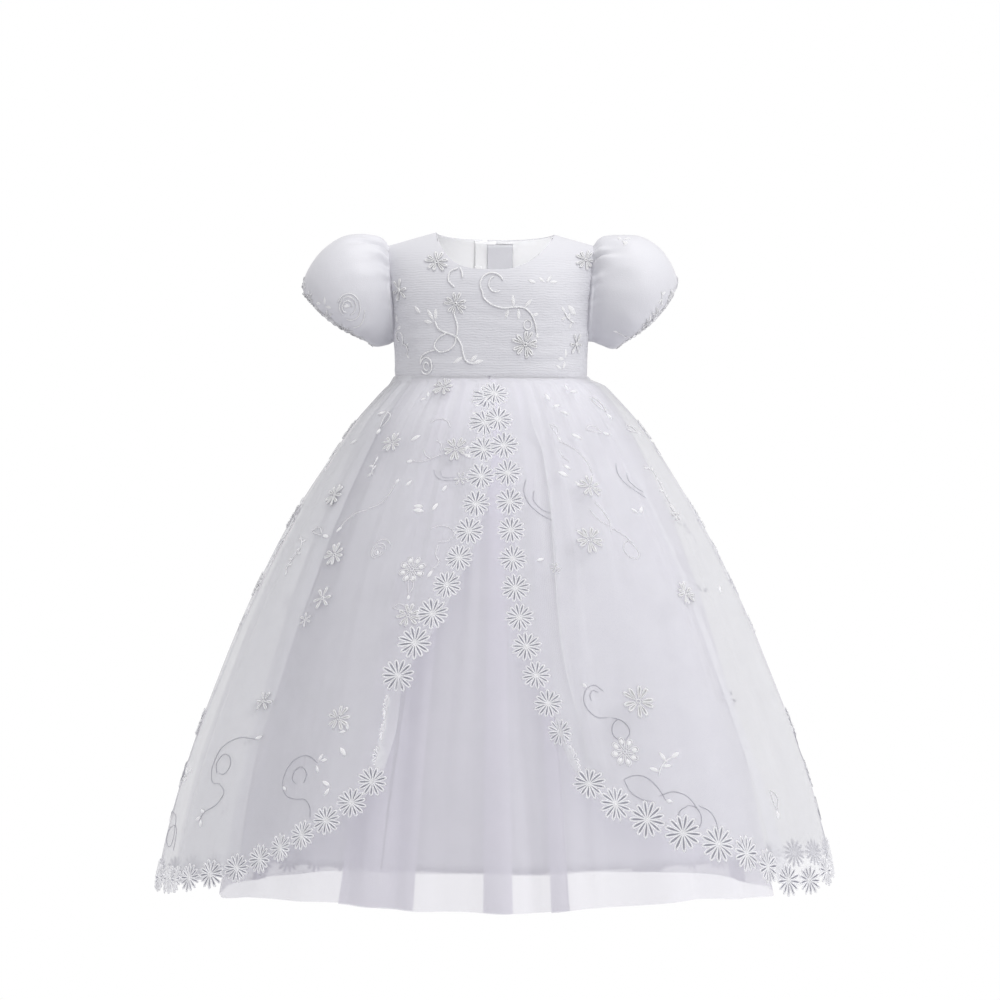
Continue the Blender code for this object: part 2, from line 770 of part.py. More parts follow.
def evenly_along(route, start, pitch):
    """Points at equal steps along a route, with the direction of travel at each."""
    reach = [0.0]
    for here, after in zip(route, route[1:]):
        reach.append(reach[-1] + (after - here).length)
    free = reach[-1] - start - pitch / 2
    count = int(free / pitch + 0.5) + 1
    step = free / (count - 1)

    def place(distance):
        distance = min(max(distance, 0.0), reach[-1])
        i = max(k for k in range(len(route) - 1) if reach[k] <= distance)
        share = (distance - reach[i]) / (reach[i + 1] - reach[i])
        return route[i].lerp(route[i + 1], share)

    stations = []
    for number in range(count):
        here = start + step * number
        near = pitch * 0.45
        travel = place(here + near) - place(here - near)
        stations.append(((place(here + near) + place(here - near)) / 2, travel.normalized()))
    return stations


def outward(point):
    """Away from the gown's upright axis and a little upwards."""
    return Vector((point.x, point.y, 0.25 * math.hypot(point.x, point.y))).normalized()


def trim_lift(side, drop):
    """The left lace crosses over the right one near the waist."""
    if side < 0:
        return DAISY_LIFT
    return DAISY_LIFT + DAISY_OVERLAP_LIFT * smoothstep((OVERLAP_ENDS_AT - drop) / OVERLAP_FADE)


def laid_on(guide, point, lift):
    foot, normal, _, _ = guide.find_nearest(point)
    if normal.dot(outward(foot)) < 0:
        normal = -normal
    return foot + normal * lift


def daisy_points(guide, side, centre, travel, inward, lift):
    """Bottom ring, top ring, petal tips, and the two middle points of one daisy."""
    bottom, top, tips = [], [], []
    for k in range(DAISY_PETALS):
        turn = 2 * math.pi * (k + 0.5) / DAISY_PETALS
        spot = centre + (travel * math.cos(turn) + inward * math.sin(turn)) * DAISY_VALLEY
        bottom.append(laid_on(guide, spot, lift))
        top.append(laid_on(guide, spot, lift + DAISY_THICK))
    for k in range(DAISY_PETALS):
        turn = 2 * math.pi * k / DAISY_PETALS
        spot = centre + (travel * math.cos(turn) + inward * math.sin(turn)) * DAISY_RADIUS
        tips.append(laid_on(guide, spot, lift + DAISY_THICK / 2))
    low = laid_on(guide, centre, lift)
    high = laid_on(guide, centre, lift + DAISY_THICK + DAISY_CENTRE_RISE)
    return bottom, top, tips, low, high


def add_daisy(points, faces, parts, joined_before, joined_after):
    """Adds one daisy. The petals along the chain give way to bridges where it joins others."""
    bottom, top, tips, low, high = parts
    base = len(points)
    count = DAISY_PETALS
    points.extend(bottom + top + tips + [low, high])
    low_index, high_index = base + 3 * count, base + 3 * count + 1
    for k in range(count):
        after = (k + 1) % count
        faces.append((high_index, base + count + k, base + count + after))
        faces.append((low_index, base + after, base + k))
    for k in range(count):
        before = (k - 1) % count
        if (k == 0 and joined_after) or (k == count // 2 and joined_before):
            continue
        tip = base + 2 * count + k
        faces.append((base + count + before, tip, base + count + k))
        faces.append((base + before, base + k, tip))
        faces.append((base + before, tip, base + count + before))
        faces.append((base + k, base + count + k, tip))
    return base


def add_bridge(faces, here, there):
    """Joins the petal gap of one daisy to that of the next with a square bar."""
    count = DAISY_PETALS
    half = count // 2
    near = [here + count - 1, here, here + count, here + 2 * count - 1]
    far = [there + half, there + half - 1, there + count + half - 1, there + count + half]
    for k in range(4):
        after = (k + 1) % 4
        faces.append((near[k], near[after], far[after]))
        faces.append((near[k], far[after], far[k]))


def drop_loose_tips(points, faces):
    """Leaves out points that no face uses."""
    used = sorted({i for face in faces for i in face})
    renumber = {old: new for new, old in enumerate(used)}
    return [points[i] for i in used], [tuple(renumber[i] for i in face) for face in faces]


def make_daisy_trim(name, side, material):
    """A chain of lace daisies along the front edge and hem of one half of the overskirt."""
    grid = over_grid(side)
    guide = guide_surface(grid)
    stations = evenly_along(boundary_route(grid), TRIM_START, DAISY_PITCH)
    points, faces, bases = [], [], []
    for number, (spot, travel) in enumerate(stations):
        normal = laid_on(guide, spot, 1.0) - laid_on(guide, spot, 0.0)
        travel = (travel - normal * travel.dot(normal)).normalized()
        across = normal.cross(travel)
        inward = across * side
        centre = spot + inward * TRIM_INSET
        lift = trim_lift(side, WAIST_Z - spot.z)
        parts = daisy_points(guide, side, centre, travel, across, lift)
        bases.append(
            add_daisy(points, faces, parts, number > 0, number < len(stations) - 1)
        )
    for here, there in zip(bases, bases[1:]):
        add_bridge(faces, here, there)
    points, faces = drop_loose_tips(points, faces)
    return make_object(name, points, faces, material)


# ---------------------------------------------------------------- zip, guard and tab
def back_frame(x, z):
    """A point on the back, with the directions out of the cloth and up along it."""
    step = 1.0
    angle = angle_at(x, z)
    point = bodice_point("back", angle, z)
    up = bodice_point("back", angle_at(x, z + step), z + step)
    up -= bodice_point("back", angle_at(x, z - step), z - step)
    across = bodice_point("back", angle_at(x + step, z), z)
    across -= bodice_point("back", angle_at(x - step, z), z)
    return point, up.cross(across).normalized(), up.normalized()


def back_heights(top_share, low_share):
    """Heights down the back seam at the panels' own rows, short of neck and waist."""
    grid, _ = back_panel_grid(1)
    rows = [line[-1].z for line in grid]
    first = rows[0] + (rows[1] - rows[0]) * top_share
    last = rows[-1] + (rows[-2] - rows[-1]) * low_share
    return [first] + rows[1:-1] + [last]


def swept_bar(name, section, heights, material):
    """A bar down the back from corners given as (x, distance out of the cloth)."""
    points, faces = [], []
    for z in heights:
        for x, away in section:
            place, out, _ = back_frame(x, z)
            points.append(place + out * away)
    corners, rings = len(section), len(heights)
    for j in range(rings - 1):
        for i in range(corners):
            k = (i + 1) % corners
            a, b = j * corners + i, j * corners + k
            faces.append((a, b, b + corners, a + corners))
    faces.append(tuple(range(corners))[::-1])
    faces.append(tuple(range((rings - 1) * corners, rings * corners)))
    return make_object(name, points, faces, material)


def make_zip_chain(material):
    """The closed zip: teeth between the panel edges and its tape behind them."""
    face, back = -CLOTH - ZIP_BEHIND, -CLOTH - ZIP_BEHIND - ZIP_TAPE_THICK
    middle = BACK_CENTRE_X
    section = [
        (middle - ZIP_CHAIN_HALF, 0.0),
        (middle + ZIP_CHAIN_HALF, 0.0),
        (middle + ZIP_CHAIN_HALF, face),
        (middle + ZIP_TAPE_HALF, face),
        (middle + ZIP_TAPE_HALF, back),
        (middle - ZIP_TAPE_HALF, back),
        (middle - ZIP_TAPE_HALF, face),
        (middle - ZIP_CHAIN_HALF, face),
    ]
    return swept_bar("zip_chain", section, back_heights(ZIP_TOP_GAP, 0.08), material)


def make_zip_guard(material):
    """The strip of cloth that keeps the zip off the skin, seen inside the neck."""
    top = -CLOTH - ZIP_BEHIND - ZIP_TAPE_THICK - ZIP_BEHIND
    left, right = BACK_CENTRE_X + ZIP_CHAIN_HALF, BACK_CENTRE_X + ZIP_CHAIN_HALF + GUARD_WIDTH
    section = [
        (left, top),
        (right, top),
        (right, top - GUARD_THICK),
        (left, top - GUARD_THICK),
    ]
    return swept_bar("zip_guard", section, back_heights(0.10, 0.10), material)


def make_size_tab(material):
    """A small bare tab of ribbon beside the zip."""
    width, height = TAB_SIZE
    top = -CLOTH - ZIP_BEHIND - ZIP_TAPE_THICK - 2 * ZIP_BEHIND
    section = [
        (TAB_X, top),
        (TAB_X + width, top),
        (TAB_X + width, top - ZIP_TAPE_THICK),
        (TAB_X, top - ZIP_TAPE_THICK),
    ]
    return swept_bar("size_tab", section, [TAB_TOP_Z, TAB_TOP_Z - height], material)


def slider_frame():
    place, out, up = back_frame(BACK_CENTRE_X, SLIDER_Z)
    across = Vector((1, 0, 0))
    up = (up - across * up.dot(across)).normalized()
    return place, across, up, up.cross(across).normalized()


def framed(place, across, up, out, x, s, n):
    return place + across * x + up * s + out * n


def make_zip_slider(material):
    """The slider's body with the arch that carries the pull, drawn as one solid."""
    place, across, up, out = slider_frame()
    low = SLIDER["lift"]
    top = low + SLIDER["thick"]
    arch_top = top + ARCH["rise"]
    long, arch = SLIDER["half_length"], ARCH["half_length"]
    inside = arch - ARCH["leg"]
    under = arch_top - ARCH["bar"]
    body_half, arch_half = SLIDER["half_width"], ARCH["half_width"]
    # stations across the slider: body sides, then the arch's two sides
    lines = {
        "low": [(-long, low), (long, low)],
        "top": [(long, top), (arch, top), (inside, top), (-inside, top), (-arch, top), (-long, top)],
        "outer": [(arch, arch_top), (-arch, arch_top)],
        "inner": [(inside, under), (-inside, under)],
    }
    points, index = [], {}

    def at(x, key, number):
        token = (x, key, number)
        if token not in index:
            s, n = lines[key][number]
            index[token] = len(points)
            points.append(framed(place, across, up, out, x, s, n))
        return index[token]

    faces = []
    xs = (-body_half, -arch_half, arch_half, body_half)
    for a, b in zip(xs, xs[1:]):
        faces.append((at(a, "low", 0), at(a, "low", 1), at(b, "low", 1), at(b, "low", 0)))
        faces.append((at(a, "low", 1), at(a, "top", 0), at(b, "top", 0), at(b, "low", 1)))
        faces.append((at(a, "top", 5), at(a, "low", 0), at(b, "low", 0), at(b, "top", 5)))
        for k in range(5):
            if a == -arch_half and k in (1, 3):
                continue
            faces.append((at(a, "top", k), at(a, "top", k + 1), at(b, "top", k + 1), at(b, "top", k)))
    end = [("low", 0), ("top", 5), ("top", 4), ("top", 3), ("top", 2), ("top", 1), ("top", 0), ("low", 1)]
    faces.append(tuple(at(-body_half, key, k) for key, k in end))
    faces.append(tuple(at(body_half, key, k) for key, k in end[::-1]))
    left_x, right_x = -arch_half, arch_half
    faces.append((at(left_x, "top", 1), at(left_x, "outer", 0), at(right_x, "outer", 0), at(right_x, "top", 1)))
    faces.append(
        (at(left_x, "outer", 0), at(left_x, "outer", 1), at(right_x, "outer", 1), at(right_x, "outer", 0))
    )
    faces.append((at(left_x, "outer", 1), at(left_x, "top", 4), at(right_x, "top", 4), at(right_x, "outer", 1)))
    faces.append((at(left_x, "top", 3), at(left_x, "inner", 1), at(right_x, "inner", 1), at(right_x, "top", 3)))
    faces.append(
        (at(left_x, "inner", 1), at(left_x, "inner", 0), at(right_x, "inner", 0), at(right_x, "inner", 1))
    )
    faces.append((at(left_x, "inner", 0), at(left_x, "top", 2), at(right_x, "top", 2), at(right_x, "inner", 0)))
    for x, turn in ((left_x, 1), (right_x, -1)):
        sides = [
            [("top", 1), ("top", 2), ("inner", 0), ("outer", 0)],
            [("outer", 0), ("inner", 0), ("inner", 1), ("outer", 1)],
            [("outer", 1), ("inner", 1), ("top", 3), ("top", 4)],
        ]
        for side in sides:
            faces.append(tuple(at(x, key, k) for key, k in side[::turn]))
    return make_object("zip_slider", points, faces, material)


def make_zip_pull(material):
    """The pull tab: a flat plate whose eye hangs on the slider's arch."""
    place, across, up, out = slider_frame()
    top = SLIDER["lift"] + SLIDER["thick"]
    axis_height = top + (ARCH["rise"] - ARCH["bar"]) / 2
    axis = framed(place, across, up, out, 0, 0, axis_height)
    half, eye = PULL["half_width"], PULL["eye_half_width"]
    bar, length, thick = PULL["bar"], PULL["length"], PULL["thick"]
    eye_top, eye_low = -bar / 2, -bar / 2 - PULL["eye_length"]
    waist = half * 0.62
    outline = [
        (-half, bar / 2),
        (half, bar / 2),
        (half, eye_low - 1.0),
        (waist, eye_low - 4.0),
        (half, -length + 2.5),
        (half * 0.6, -length),
        (-half * 0.6, -length),
        (-half, -length + 2.5),
        (-waist, eye_low - 4.0),
        (-half, eye_low - 1.0),
    ]
    window = [(-eye, eye_top), (eye, eye_top), (eye, eye_low), (-eye, eye_low)]
    points = []
    for height in (thick / 2, -thick / 2):
        for x, s in outline + window:
            points.append(axis + across * x + up * s + out * height)
    count = len(outline)
    second = count + 4
    a, b, c, d = (count + k for k in range(4))
    front = [
        (0, a, b, 1),
        (1, b, c, 2),
        (0, 9, d, a),
        (9, 2, c, d),
        (9, 8, 3, 2),
        (8, 7, 4, 3),
        (7, 6, 5, 4),
    ]
    faces = front + [tuple(i + second for i in face[::-1]) for face in front]
    for i in range(count):
        k = (i + 1) % count
        faces.append((i, k, k + second, i + second))
    for i in range(4):
        k = (i + 1) % 4
        faces.append((count + k, count + i, count + i + second, count + k + second))
    return make_object("zip_pull", points, faces, material, origin=axis)


# ---------------------------------------------------------------- the gown
def clear_scene():
    for old in list(bpy.data.objects):
        bpy.data.objects.remove(old, do_unlink=True)


def main():
    clear_scene()
    crepe = cloth_material("ribbed_crepe", (0.80, 0.80, 0.84), 0.7)
    organza = cloth_material("organza", (0.84, 0.84, 0.88), 0.6)
    embroidered_net = cloth_material("embroidered_net", (0.86, 0.86, 0.90), 0.8)
    tulle = cloth_material("tulle", (0.88, 0.88, 0.93), 0.85)
    satin = cloth_material("lining_satin", (0.82, 0.82, 0.87), 0.45)
    lace = cloth_material("guipure_lace", (0.90, 0.90, 0.92), 0.75)
    ribbon = cloth_material("ribbon", (0.90, 0.90, 0.92), 0.6)
    nylon = cloth_material("zip_nylon", (0.85, 0.85, 0.87), 0.4)

    make_bodice_front(crepe)
    make_bodice_back("bodice_back_left", 1, crepe)
    make_bodice_back("bodice_back_right", -1, crepe)
    make_sleeve("sleeve_left", 1, organza)
    make_sleeve("sleeve_right", -1, organza)
    make_cuff_lace("cuff_lace_left", 1, lace)
    make_cuff_lace("cuff_lace_right", -1, lace)
    make_overskirt("overskirt_left", 1, embroidered_net)
    make_overskirt("overskirt_right", -1, embroidered_net)
    for panel in ("front", "back"):
        make_round_skirt("net_skirt_" + panel, "net", panel, NET_COLUMNS[panel], NET_ROWS, tulle)
        make_round_skirt("lining_" + panel, "lining", panel, LINING_COLUMNS, LINING_ROWS, satin)
    make_daisy_trim("daisy_trim_left", 1, lace)
    make_daisy_trim("daisy_trim_right", -1, lace)
    make_zip_chain(nylon)
    make_zip_guard(crepe)
    make_size_tab(ribbon)
    make_zip_slider(nylon)
    make_zip_pull(nylon)


main()
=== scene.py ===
"""Dresses the christening gown: a ribbed crepe bodice with organza puff sleeves, a satin lining, a
pleated tulle skirt, and an open overskirt of embroidered net edged with daisy lace.

The tables are in millimetres and degrees, and each mesh is made in metres. The front faces -Y, the
wearer's left is +X, angle 0 is the centre front and drop is measured down from the waist seam.
"""

import math
import random
from collections import namedtuple

import bpy
import numpy as np
from bpy.props import FloatProperty, FloatVectorProperty, IntProperty, PointerProperty
from mathutils import Matrix, Vector
from mathutils.bvhtree import BVHTree


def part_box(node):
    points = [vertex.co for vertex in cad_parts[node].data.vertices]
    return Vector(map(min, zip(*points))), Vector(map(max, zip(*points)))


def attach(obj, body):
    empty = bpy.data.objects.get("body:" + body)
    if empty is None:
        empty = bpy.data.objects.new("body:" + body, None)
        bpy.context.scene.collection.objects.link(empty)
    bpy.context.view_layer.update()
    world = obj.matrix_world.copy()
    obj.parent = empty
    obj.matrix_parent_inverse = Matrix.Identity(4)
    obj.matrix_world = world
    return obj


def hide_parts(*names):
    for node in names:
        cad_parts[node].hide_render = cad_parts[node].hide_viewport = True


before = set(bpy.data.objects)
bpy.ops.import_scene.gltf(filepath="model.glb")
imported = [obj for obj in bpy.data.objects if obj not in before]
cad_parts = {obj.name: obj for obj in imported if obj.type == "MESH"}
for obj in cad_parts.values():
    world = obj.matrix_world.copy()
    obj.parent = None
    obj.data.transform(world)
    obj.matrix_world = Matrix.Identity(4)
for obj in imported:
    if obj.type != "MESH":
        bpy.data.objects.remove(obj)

bl_info = {
    "name": "Christening Gown",
    "version": (1, 0, 0),
    "blender": (4, 5, 0),
    "location": "View3D > Sidebar > Gown",
    "description": "Sews the cloth, lace and embroidery of a christening gown over its pattern pieces",
    "category": "Add Mesh",
}

MM = 0.001
LENGTH = {"unit": "LENGTH", "subtype": "DISTANCE"}
COLOUR = {"subtype": "COLOR", "size": 3}


def linear(hex_colour):
    """An sRGB hex colour as linear numbers."""
    shares = [int(hex_colour[i : i + 2], 16) / 255 for i in (1, 3, 5)]
    return tuple(s / 12.92 if s <= 0.04045 else ((s + 0.055) / 1.055) ** 2.4 for s in shares)


# ---- settings
class GownSizes(bpy.types.PropertyGroup):
    """Sizes that the cutter would change"""

    cloth: FloatProperty(
        name="Cloth", description="Thickness of crepe and organza", default=0.001, **LENGTH
    )
    satin: FloatProperty(name="Satin", description="Thickness of the lining", default=0.0008, **LENGTH)
    rib: FloatProperty(name="Rib", description="Spacing of the crepe's ribs", default=0.0024, **LENGTH)
    net_cell: FloatProperty(
        name="Net cell", description="Width of a cell, as drawn", default=0.0013, **LENGTH
    )
    thread: FloatProperty(
        name="Thread", description="Radius of an embroidered stem", default=0.00062, **LENGTH
    )
    lace_cord: FloatProperty(
        name="Lace cord", description="Radius of a petal's cord", default=0.0008, **LENGTH
    )
    daisy: FloatProperty(name="Daisy", description="Radius of a lace daisy", default=0.0141, **LENGTH)
    petals: IntProperty(name="Petals", description="Petals of a lace daisy", default=13, min=8)


class GownColours(bpy.types.PropertyGroup):
    """Colours of the cloths and threads"""

    crepe: FloatVectorProperty(
        name="Crepe", description="Bodice cloth", default=linear("#D7D7DC"), **COLOUR
    )
    organza: FloatVectorProperty(
        name="Organza", description="Sleeve cloth", default=linear("#DADADF"), **COLOUR
    )
    net: FloatVectorProperty(
        name="Net", description="Embroidered net", default=linear("#DCDCE0"), **COLOUR
    )
    tulle: FloatVectorProperty(
        name="Tulle", description="Tulle skirt", default=linear("#DFDDE5"), **COLOUR
    )
    satin: FloatVectorProperty(name="Satin", description="Lining", default=linear("#D5D5D9"), **COLOUR)
    thread: FloatVectorProperty(
        name="Thread", description="Embroidery thread", default=linear("#FEFEFF"), **COLOUR
    )
    lace: FloatVectorProperty(
        name="Lace", description="Daisy lace", default=linear("#FDFDFE"), **COLOUR
    )
    # Painted shade: the web between a daisy's cords is greyed to stand for the shadow in each petal's
    # slit.
    lace_web: FloatVectorProperty(
        name="Lace web", description="Stitching between cords", default=linear("#ACACB4"), **COLOUR
    )
    # Painted shade: a grey for some thin white stems, standing for their shadow lines.
    stem: FloatVectorProperty(
        name="Stem", description="Thinner thread of stems", default=linear("#AAAAB4"), **COLOUR
    )
    nylon: FloatVectorProperty(name="Nylon", description="Zip", default=linear("#EAEAEE"), **COLOUR)


# ---- pattern tables
def table(kind, *rows):
    """Rows with the named columns of their kind."""
    return [kind(*row) for row in rows]


SEAM = 0.3
WAIST_Z = -139.0
BACK_CENTRE_X = -6.0
SIDES = {1: "left", -1: "right"}  # the wearer's

BodiceRow = namedtuple("BodiceRow", "z half_width front_depth back_depth")
BODICE = table(
    BodiceRow,
    (-139, 91, 73.5, 73.5),
    (-107, 92, 72.5, 72),
    (-80, 95.5, 71, 69.5),
    (-50, 99.5, 69, 66),
    (-13, 103.3, 66, 62),
    (12, 105, 64, 60),
)
BODICE_ROUNDNESS = 2.5
SHOULDER_PEAK_Z = 10.0
SHOULDER_TIP_X = 97.0
SHOULDER_TIP_Z = -13.0
SHOULDER_BEND = 20.0
ROUNDING = {"front": 70.0, "back": 60.0}
FACING = {"front": -1.0, "back": 1.0}
UNDERARM_Z = -104.0
ARMHOLE_ANGLES = (70.0, 73.0)
ARMHOLE_TURN = 0.55
NECK_CENTRE_X = 3.8
NECK_HALF_WIDTH = 56.0
NECK_SQUARENESS = {-1: 4.0, 1: 2.3}
NECK_DROP = {"front": 37.0, "back": 4.0}

SleeveRing = namedtuple("SleeveRing", "top_x top_z bottom_x bottom_z half_depth bow")
SLEEVES = {
    -1: table(
        SleeveRing,
        (106, -5, 96.5, -106.5, 38, 0),
        (122, -1.8, 100, -107.5, 46, 0),
        (142, -4.8, 104, -108.5, 51, 0.6),
        (161, -18, 108, -109, 52, 1.8),
        (174, -36, 111.5, -108.5, 48, 3.6),
        (178.5, -50.5, 113.5, -106.5, 40, 5.2),
        (176.8, -58.3, 114.8, -102, 32, 6.4),
    ),
    1: table(
        SleeveRing,
        (106, -5, 97, -104.5, 38, 0),
        (122, -2.8, 102, -106.5, 46, 0),
        (142, -4.2, 107, -108.5, 51, 0.6),
        (160, -15, 112, -110.5, 52, 1.6),
        (172, -32, 116.5, -111, 48, 3.2),
        (177, -48, 120, -109.5, 40, 4.6),
        (172, -59, 121.8, -105, 32, 5.6),
    ),
}
# Soft creases of a sleeve: where round it (0 is its top, 90 its front), how deep, how wide, and
# from which ring to which.
Crease = namedtuple("Crease", "turn depth spread first last")
SLEEVE_CREASES = {
    -1: table(
        Crease,
        (14, -3.6, 11, 0.25, 2.6), (50, 2.2, 12, 0.2, 2.2), (68, -1.6, 12, 0.3, 2.9),
        (74, 1.6, 13, 0.4, 4), (105, -1.6, 16, 2.4, 7), (128, 1.8, 13, 1.5, 7),
        (345, 1.8, 12, 0.2, 2.4), (322, -2.6, 14, 0.3, 3), (290, 1.8, 16, 0.4, 4.5),
        (250, -2, 16, 2, 7),
    ),
    1: table(
        Crease,
        (18, -2, 10, 0.2, 1.9), (38, -3.4, 11, 0.25, 2.8), (56, 2.2, 12, 0.2, 2.4),
        (80, -1.4, 15, 0.5, 4.2), (112, 1.8, 14, 2.2, 7), (136, -1.8, 13, 2, 7),
        (350, 2, 12, 0.2, 2.6), (328, -2.4, 13, 0.3, 2.8), (286, 1.8, 15, 0.4, 4.5),
        (246, -1.8, 16, 2, 7),
    ),
}

SkirtRow = namedtuple(
    "SkirtRow", "drop over_width over_depth net_width net_depth lining_width lining_depth"
)
SKIRTS = table(
    SkirtRow,
    (0, 93, 73.5, 90, 71.5, 88, 69.5),
    (7, 102.5, 82, 97, 78.5, 94, 75.5),
    (22, 117, 96, 109, 91, 104, 86),
    (40, 133, 109, 121.5, 103, 115, 97),
    (70, 154, 125, 138, 117.5, 130, 110),
    (115, 182, 145, 159, 135, 149, 126),
    (160, 207, 163, 177, 149, 165.5, 138.5),
    (220, 236, 184, 198, 164, 185, 153),
    (280, 261, 203, 216, 177, 202, 165.5),
    (340, 284, 220, 232, 189.5, 218, 177.5),
    (400, 303, 235, 246, 201, 233, 189),
    (455, 316, 245, 257, 211, 247, 199),
    (500, 323, 251, 265, 218, 257, 207),
)
SKIRT_ROUNDNESS = (2.5, 2.1, 90.0)  # at the waist, lower down, and the drop where it has changed
HEMS = {"over": 475.0, "net": 489.0, "lining": 454.0}
HEM_RISE = {"net": 7.0, "lining": 3.0}
SKIRT_SHIFT = 5.0
SKIRT_SHIFT_DROP = 7.0
FOLD_GROWTH = 0.95

Fold = namedtuple("Fold", "angle depth spread start")
FOLDS = {
    "over": table(
        Fold,
        (9, 4, 9, 90), (25, -7, 10, 170), (40, 8.5, 11, 90), (57, -8, 10, 160),
        (72, 6, 10, 100), (104, 9, 12, 80), (122, -9, 11, 140), (138, 9.5, 11, 60),
        (154, -8, 10, 120), (169, 8, 11, 50), (-11, 4, 9, 120), (-30, 9, 10, 110),
        (-46, -8, 10, 150), (-62, 7.5, 11, 80), (-79, -4.5, 9, 180), (-101, 9, 11, 70),
        (-119, -8.5, 11, 150), (-135, 9, 11, 60), (-152, -8.5, 10, 130), (-168, 7.5, 10, 70),
    ),
    "net": table(
        Fold,
        (1, 9, 7, 40), (14, 8, 6, 70), (26, -3.5, 8, 160), (38, 7, 8, 90), (55, 6, 8, 150),
        (71, 5, 8, 120), (-16, 8, 6, 90), (-26, 7, 6, 130), (-41, 6.5, 8, 80), (-57, 5.5, 8, 160),
        (-73, 5, 8, 110), (105, 7, 10, 80), (123, 6, 9, 140), (141, 7.5, 10, 70),
        (160, 6.5, 9, 120), (180, 7, 10, 90), (-107, 6.5, 10, 90), (-125, 7, 9, 130),
        (-143, 6.5, 10, 60), (-161, 6, 9, 110),
    ),
    "lining": [],
}
# Narrower creases on top of the large folds, each between two drops. They fade in and out.
Ridge = namedtuple("Ridge", "angle depth spread top bottom")
RIDGES = {
    "over": table(
        Ridge,
        (-7, 1.6, 2.6, 18, 150), (-13, -1.8, 3, 25, 240), (-19, 1.4, 2.8, 60, 330),
        (-24, -2, 3.2, 30, 300), (-35, -2.4, 3.4, 40, 420), (-41, 1.6, 3, 15, 210),
        (-53, 2, 3.6, 30, 470), (-70, -2.2, 3.4, 40, 470), (-86, 2.2, 3.6, 60, 475),
        (14, -1.6, 2.6, 18, 210), (19, 2.2, 2.6, 30, 420), (32, -1.6, 3, 15, 230),
        (47, 1.6, 3.2, 20, 330), (64, -2, 3.2, 40, 465), (80, 2, 3.6, 50, 465),
        (93, -2, 3.4, 30, 330), (113, 2, 3.4, 30, 470), (130, -2.2, 3.4, 30, 420),
        (146, 1.8, 3.2, 25, 470), (162, -2, 3.2, 40, 300), (175, 1.6, 3, 15, 220),
        (-94, -2, 3.4, 30, 350), (-110, 2.2, 3.4, 40, 475), (-127, -1.8, 3.2, 20, 300),
        (-143, 2, 3.4, 35, 475), (-160, -2, 3, 30, 380), (-174, 1.6, 3, 20, 260),
    ),
    "net": table(
        Ridge,
        (-8, 2, 2.8, 60, 400), (6, -2, 2.6, 90, 489), (-36, -1.6, 3, 80, 420),
        (20, 1.6, 2.8, 120, 489), (47, -1.6, 3.4, 90, 489), (-50, 1.6, 3.4, 60, 480),
        (63, 1.6, 3, 60, 400), (-66, -1.6, 3, 90, 489), (96, 1.6, 3.6, 60, 480),
        (132, -1.8, 3.6, 70, 470), (152, 1.6, 3.6, 60, 489), (-98, 1.8, 3.6, 60, 480),
        (-116, -1.6, 3.6, 70, 489), (-152, 1.6, 3.6, 90, 489), (171, -1.6, 3, 70, 400),
    ),
    "lining": table(
        Ridge,
        (-44, -2.2, 8, 60, 454), (-18, -2.6, 6, 90, 454), (8, -2.2, 7, 120, 454),
        (33, -2.6, 7, 70, 454), (62, -2.2, 8, 90, 454), (-70, -2.4, 8, 90, 454),
        (105, -2.4, 9, 80, 454), (140, -2.6, 9, 60, 454), (172, -2.4, 8, 90, 454),
        (-110, -2.6, 9, 70, 454), (-145, -2.4, 9, 90, 454),
    ),
}
GATHERS = {"over": (96, 1.3, 2.2, 11), "net": (70, 0.8, 2.4, 12), "lining": (0, 0.0, 1.0, 13)}

# Pleats, where the cloth doubles back on itself: where across the panel at waist and hem, and how
# wide there, as shares of the panel.
Pleat = namedtuple("Pleat", "top_place low_place top_width low_width gap")
PLEATS = {
    "net front": table(
        Pleat,
        (0.362, 0.341, 0.03, 0.053, 0.5), (0.405, 0.389, 0.026, 0.043, 0.5),
        (0.499, 0.502, 0.022, 0.032, 0.5), (0.566, 0.5695, 0.014, 0.019, 0.5),
    ),
    "net back": table(
        Pleat,
        (0.16, 0.15, 0.03, 0.045, 0.9), (0.3, 0.31, 0.024, 0.036, 0.9),
        (0.47, 0.46, 0.028, 0.042, 0.9), (0.62, 0.64, 0.022, 0.034, 0.9),
        (0.82, 0.84, 0.028, 0.044, 0.9),
    ),
    "over right": table(
        Pleat,
        (0.365, 0.308, 0.16, 0.14, 0.9), (0.76, 0.75, 0.01, 0.028, 1.4),
        (0.89, 0.9, 0.01, 0.026, 1.4),
    ),
    "over left": table(
        Pleat,
        (0.081, 0.031, 0.0035, 0.0045, 0.9), (0.27, 0.29, 0.006, 0.026, 0.9),
        (0.72, 0.73, 0.01, 0.028, 1.4), (0.88, 0.89, 0.01, 0.026, 1.4),
    ),
}

# Pressed edges of pleats, whose flanks catch the light: where across at waist and hem, how wide, how
# high, and from where to where down the panel.
Pressed = namedtuple("Pressed", "top_place low_place spread depth first last")
PRESSED = {
    "over left": Pressed(0.081, 0.031, 0.003, 1.5, 0.16, 0.74),
    "net front": Pressed(0.573, 0.579, 0.0022, 1.0, 0.1, 1.2),
}


def pressed_edge(panel, across, grown):
    """How high a pressed edge stands for the light at each place of a panel."""
    if panel not in PRESSED:
        return 0.0
    edge = PRESSED[panel]
    middle = edge.top_place + (edge.low_place - edge.top_place) * grown
    fade = swell((grown - (edge.first + edge.last) / 2) / (edge.last - edge.first) * 1.6) ** 0.5
    return edge.depth * swell((across - middle) / edge.spread) * fade


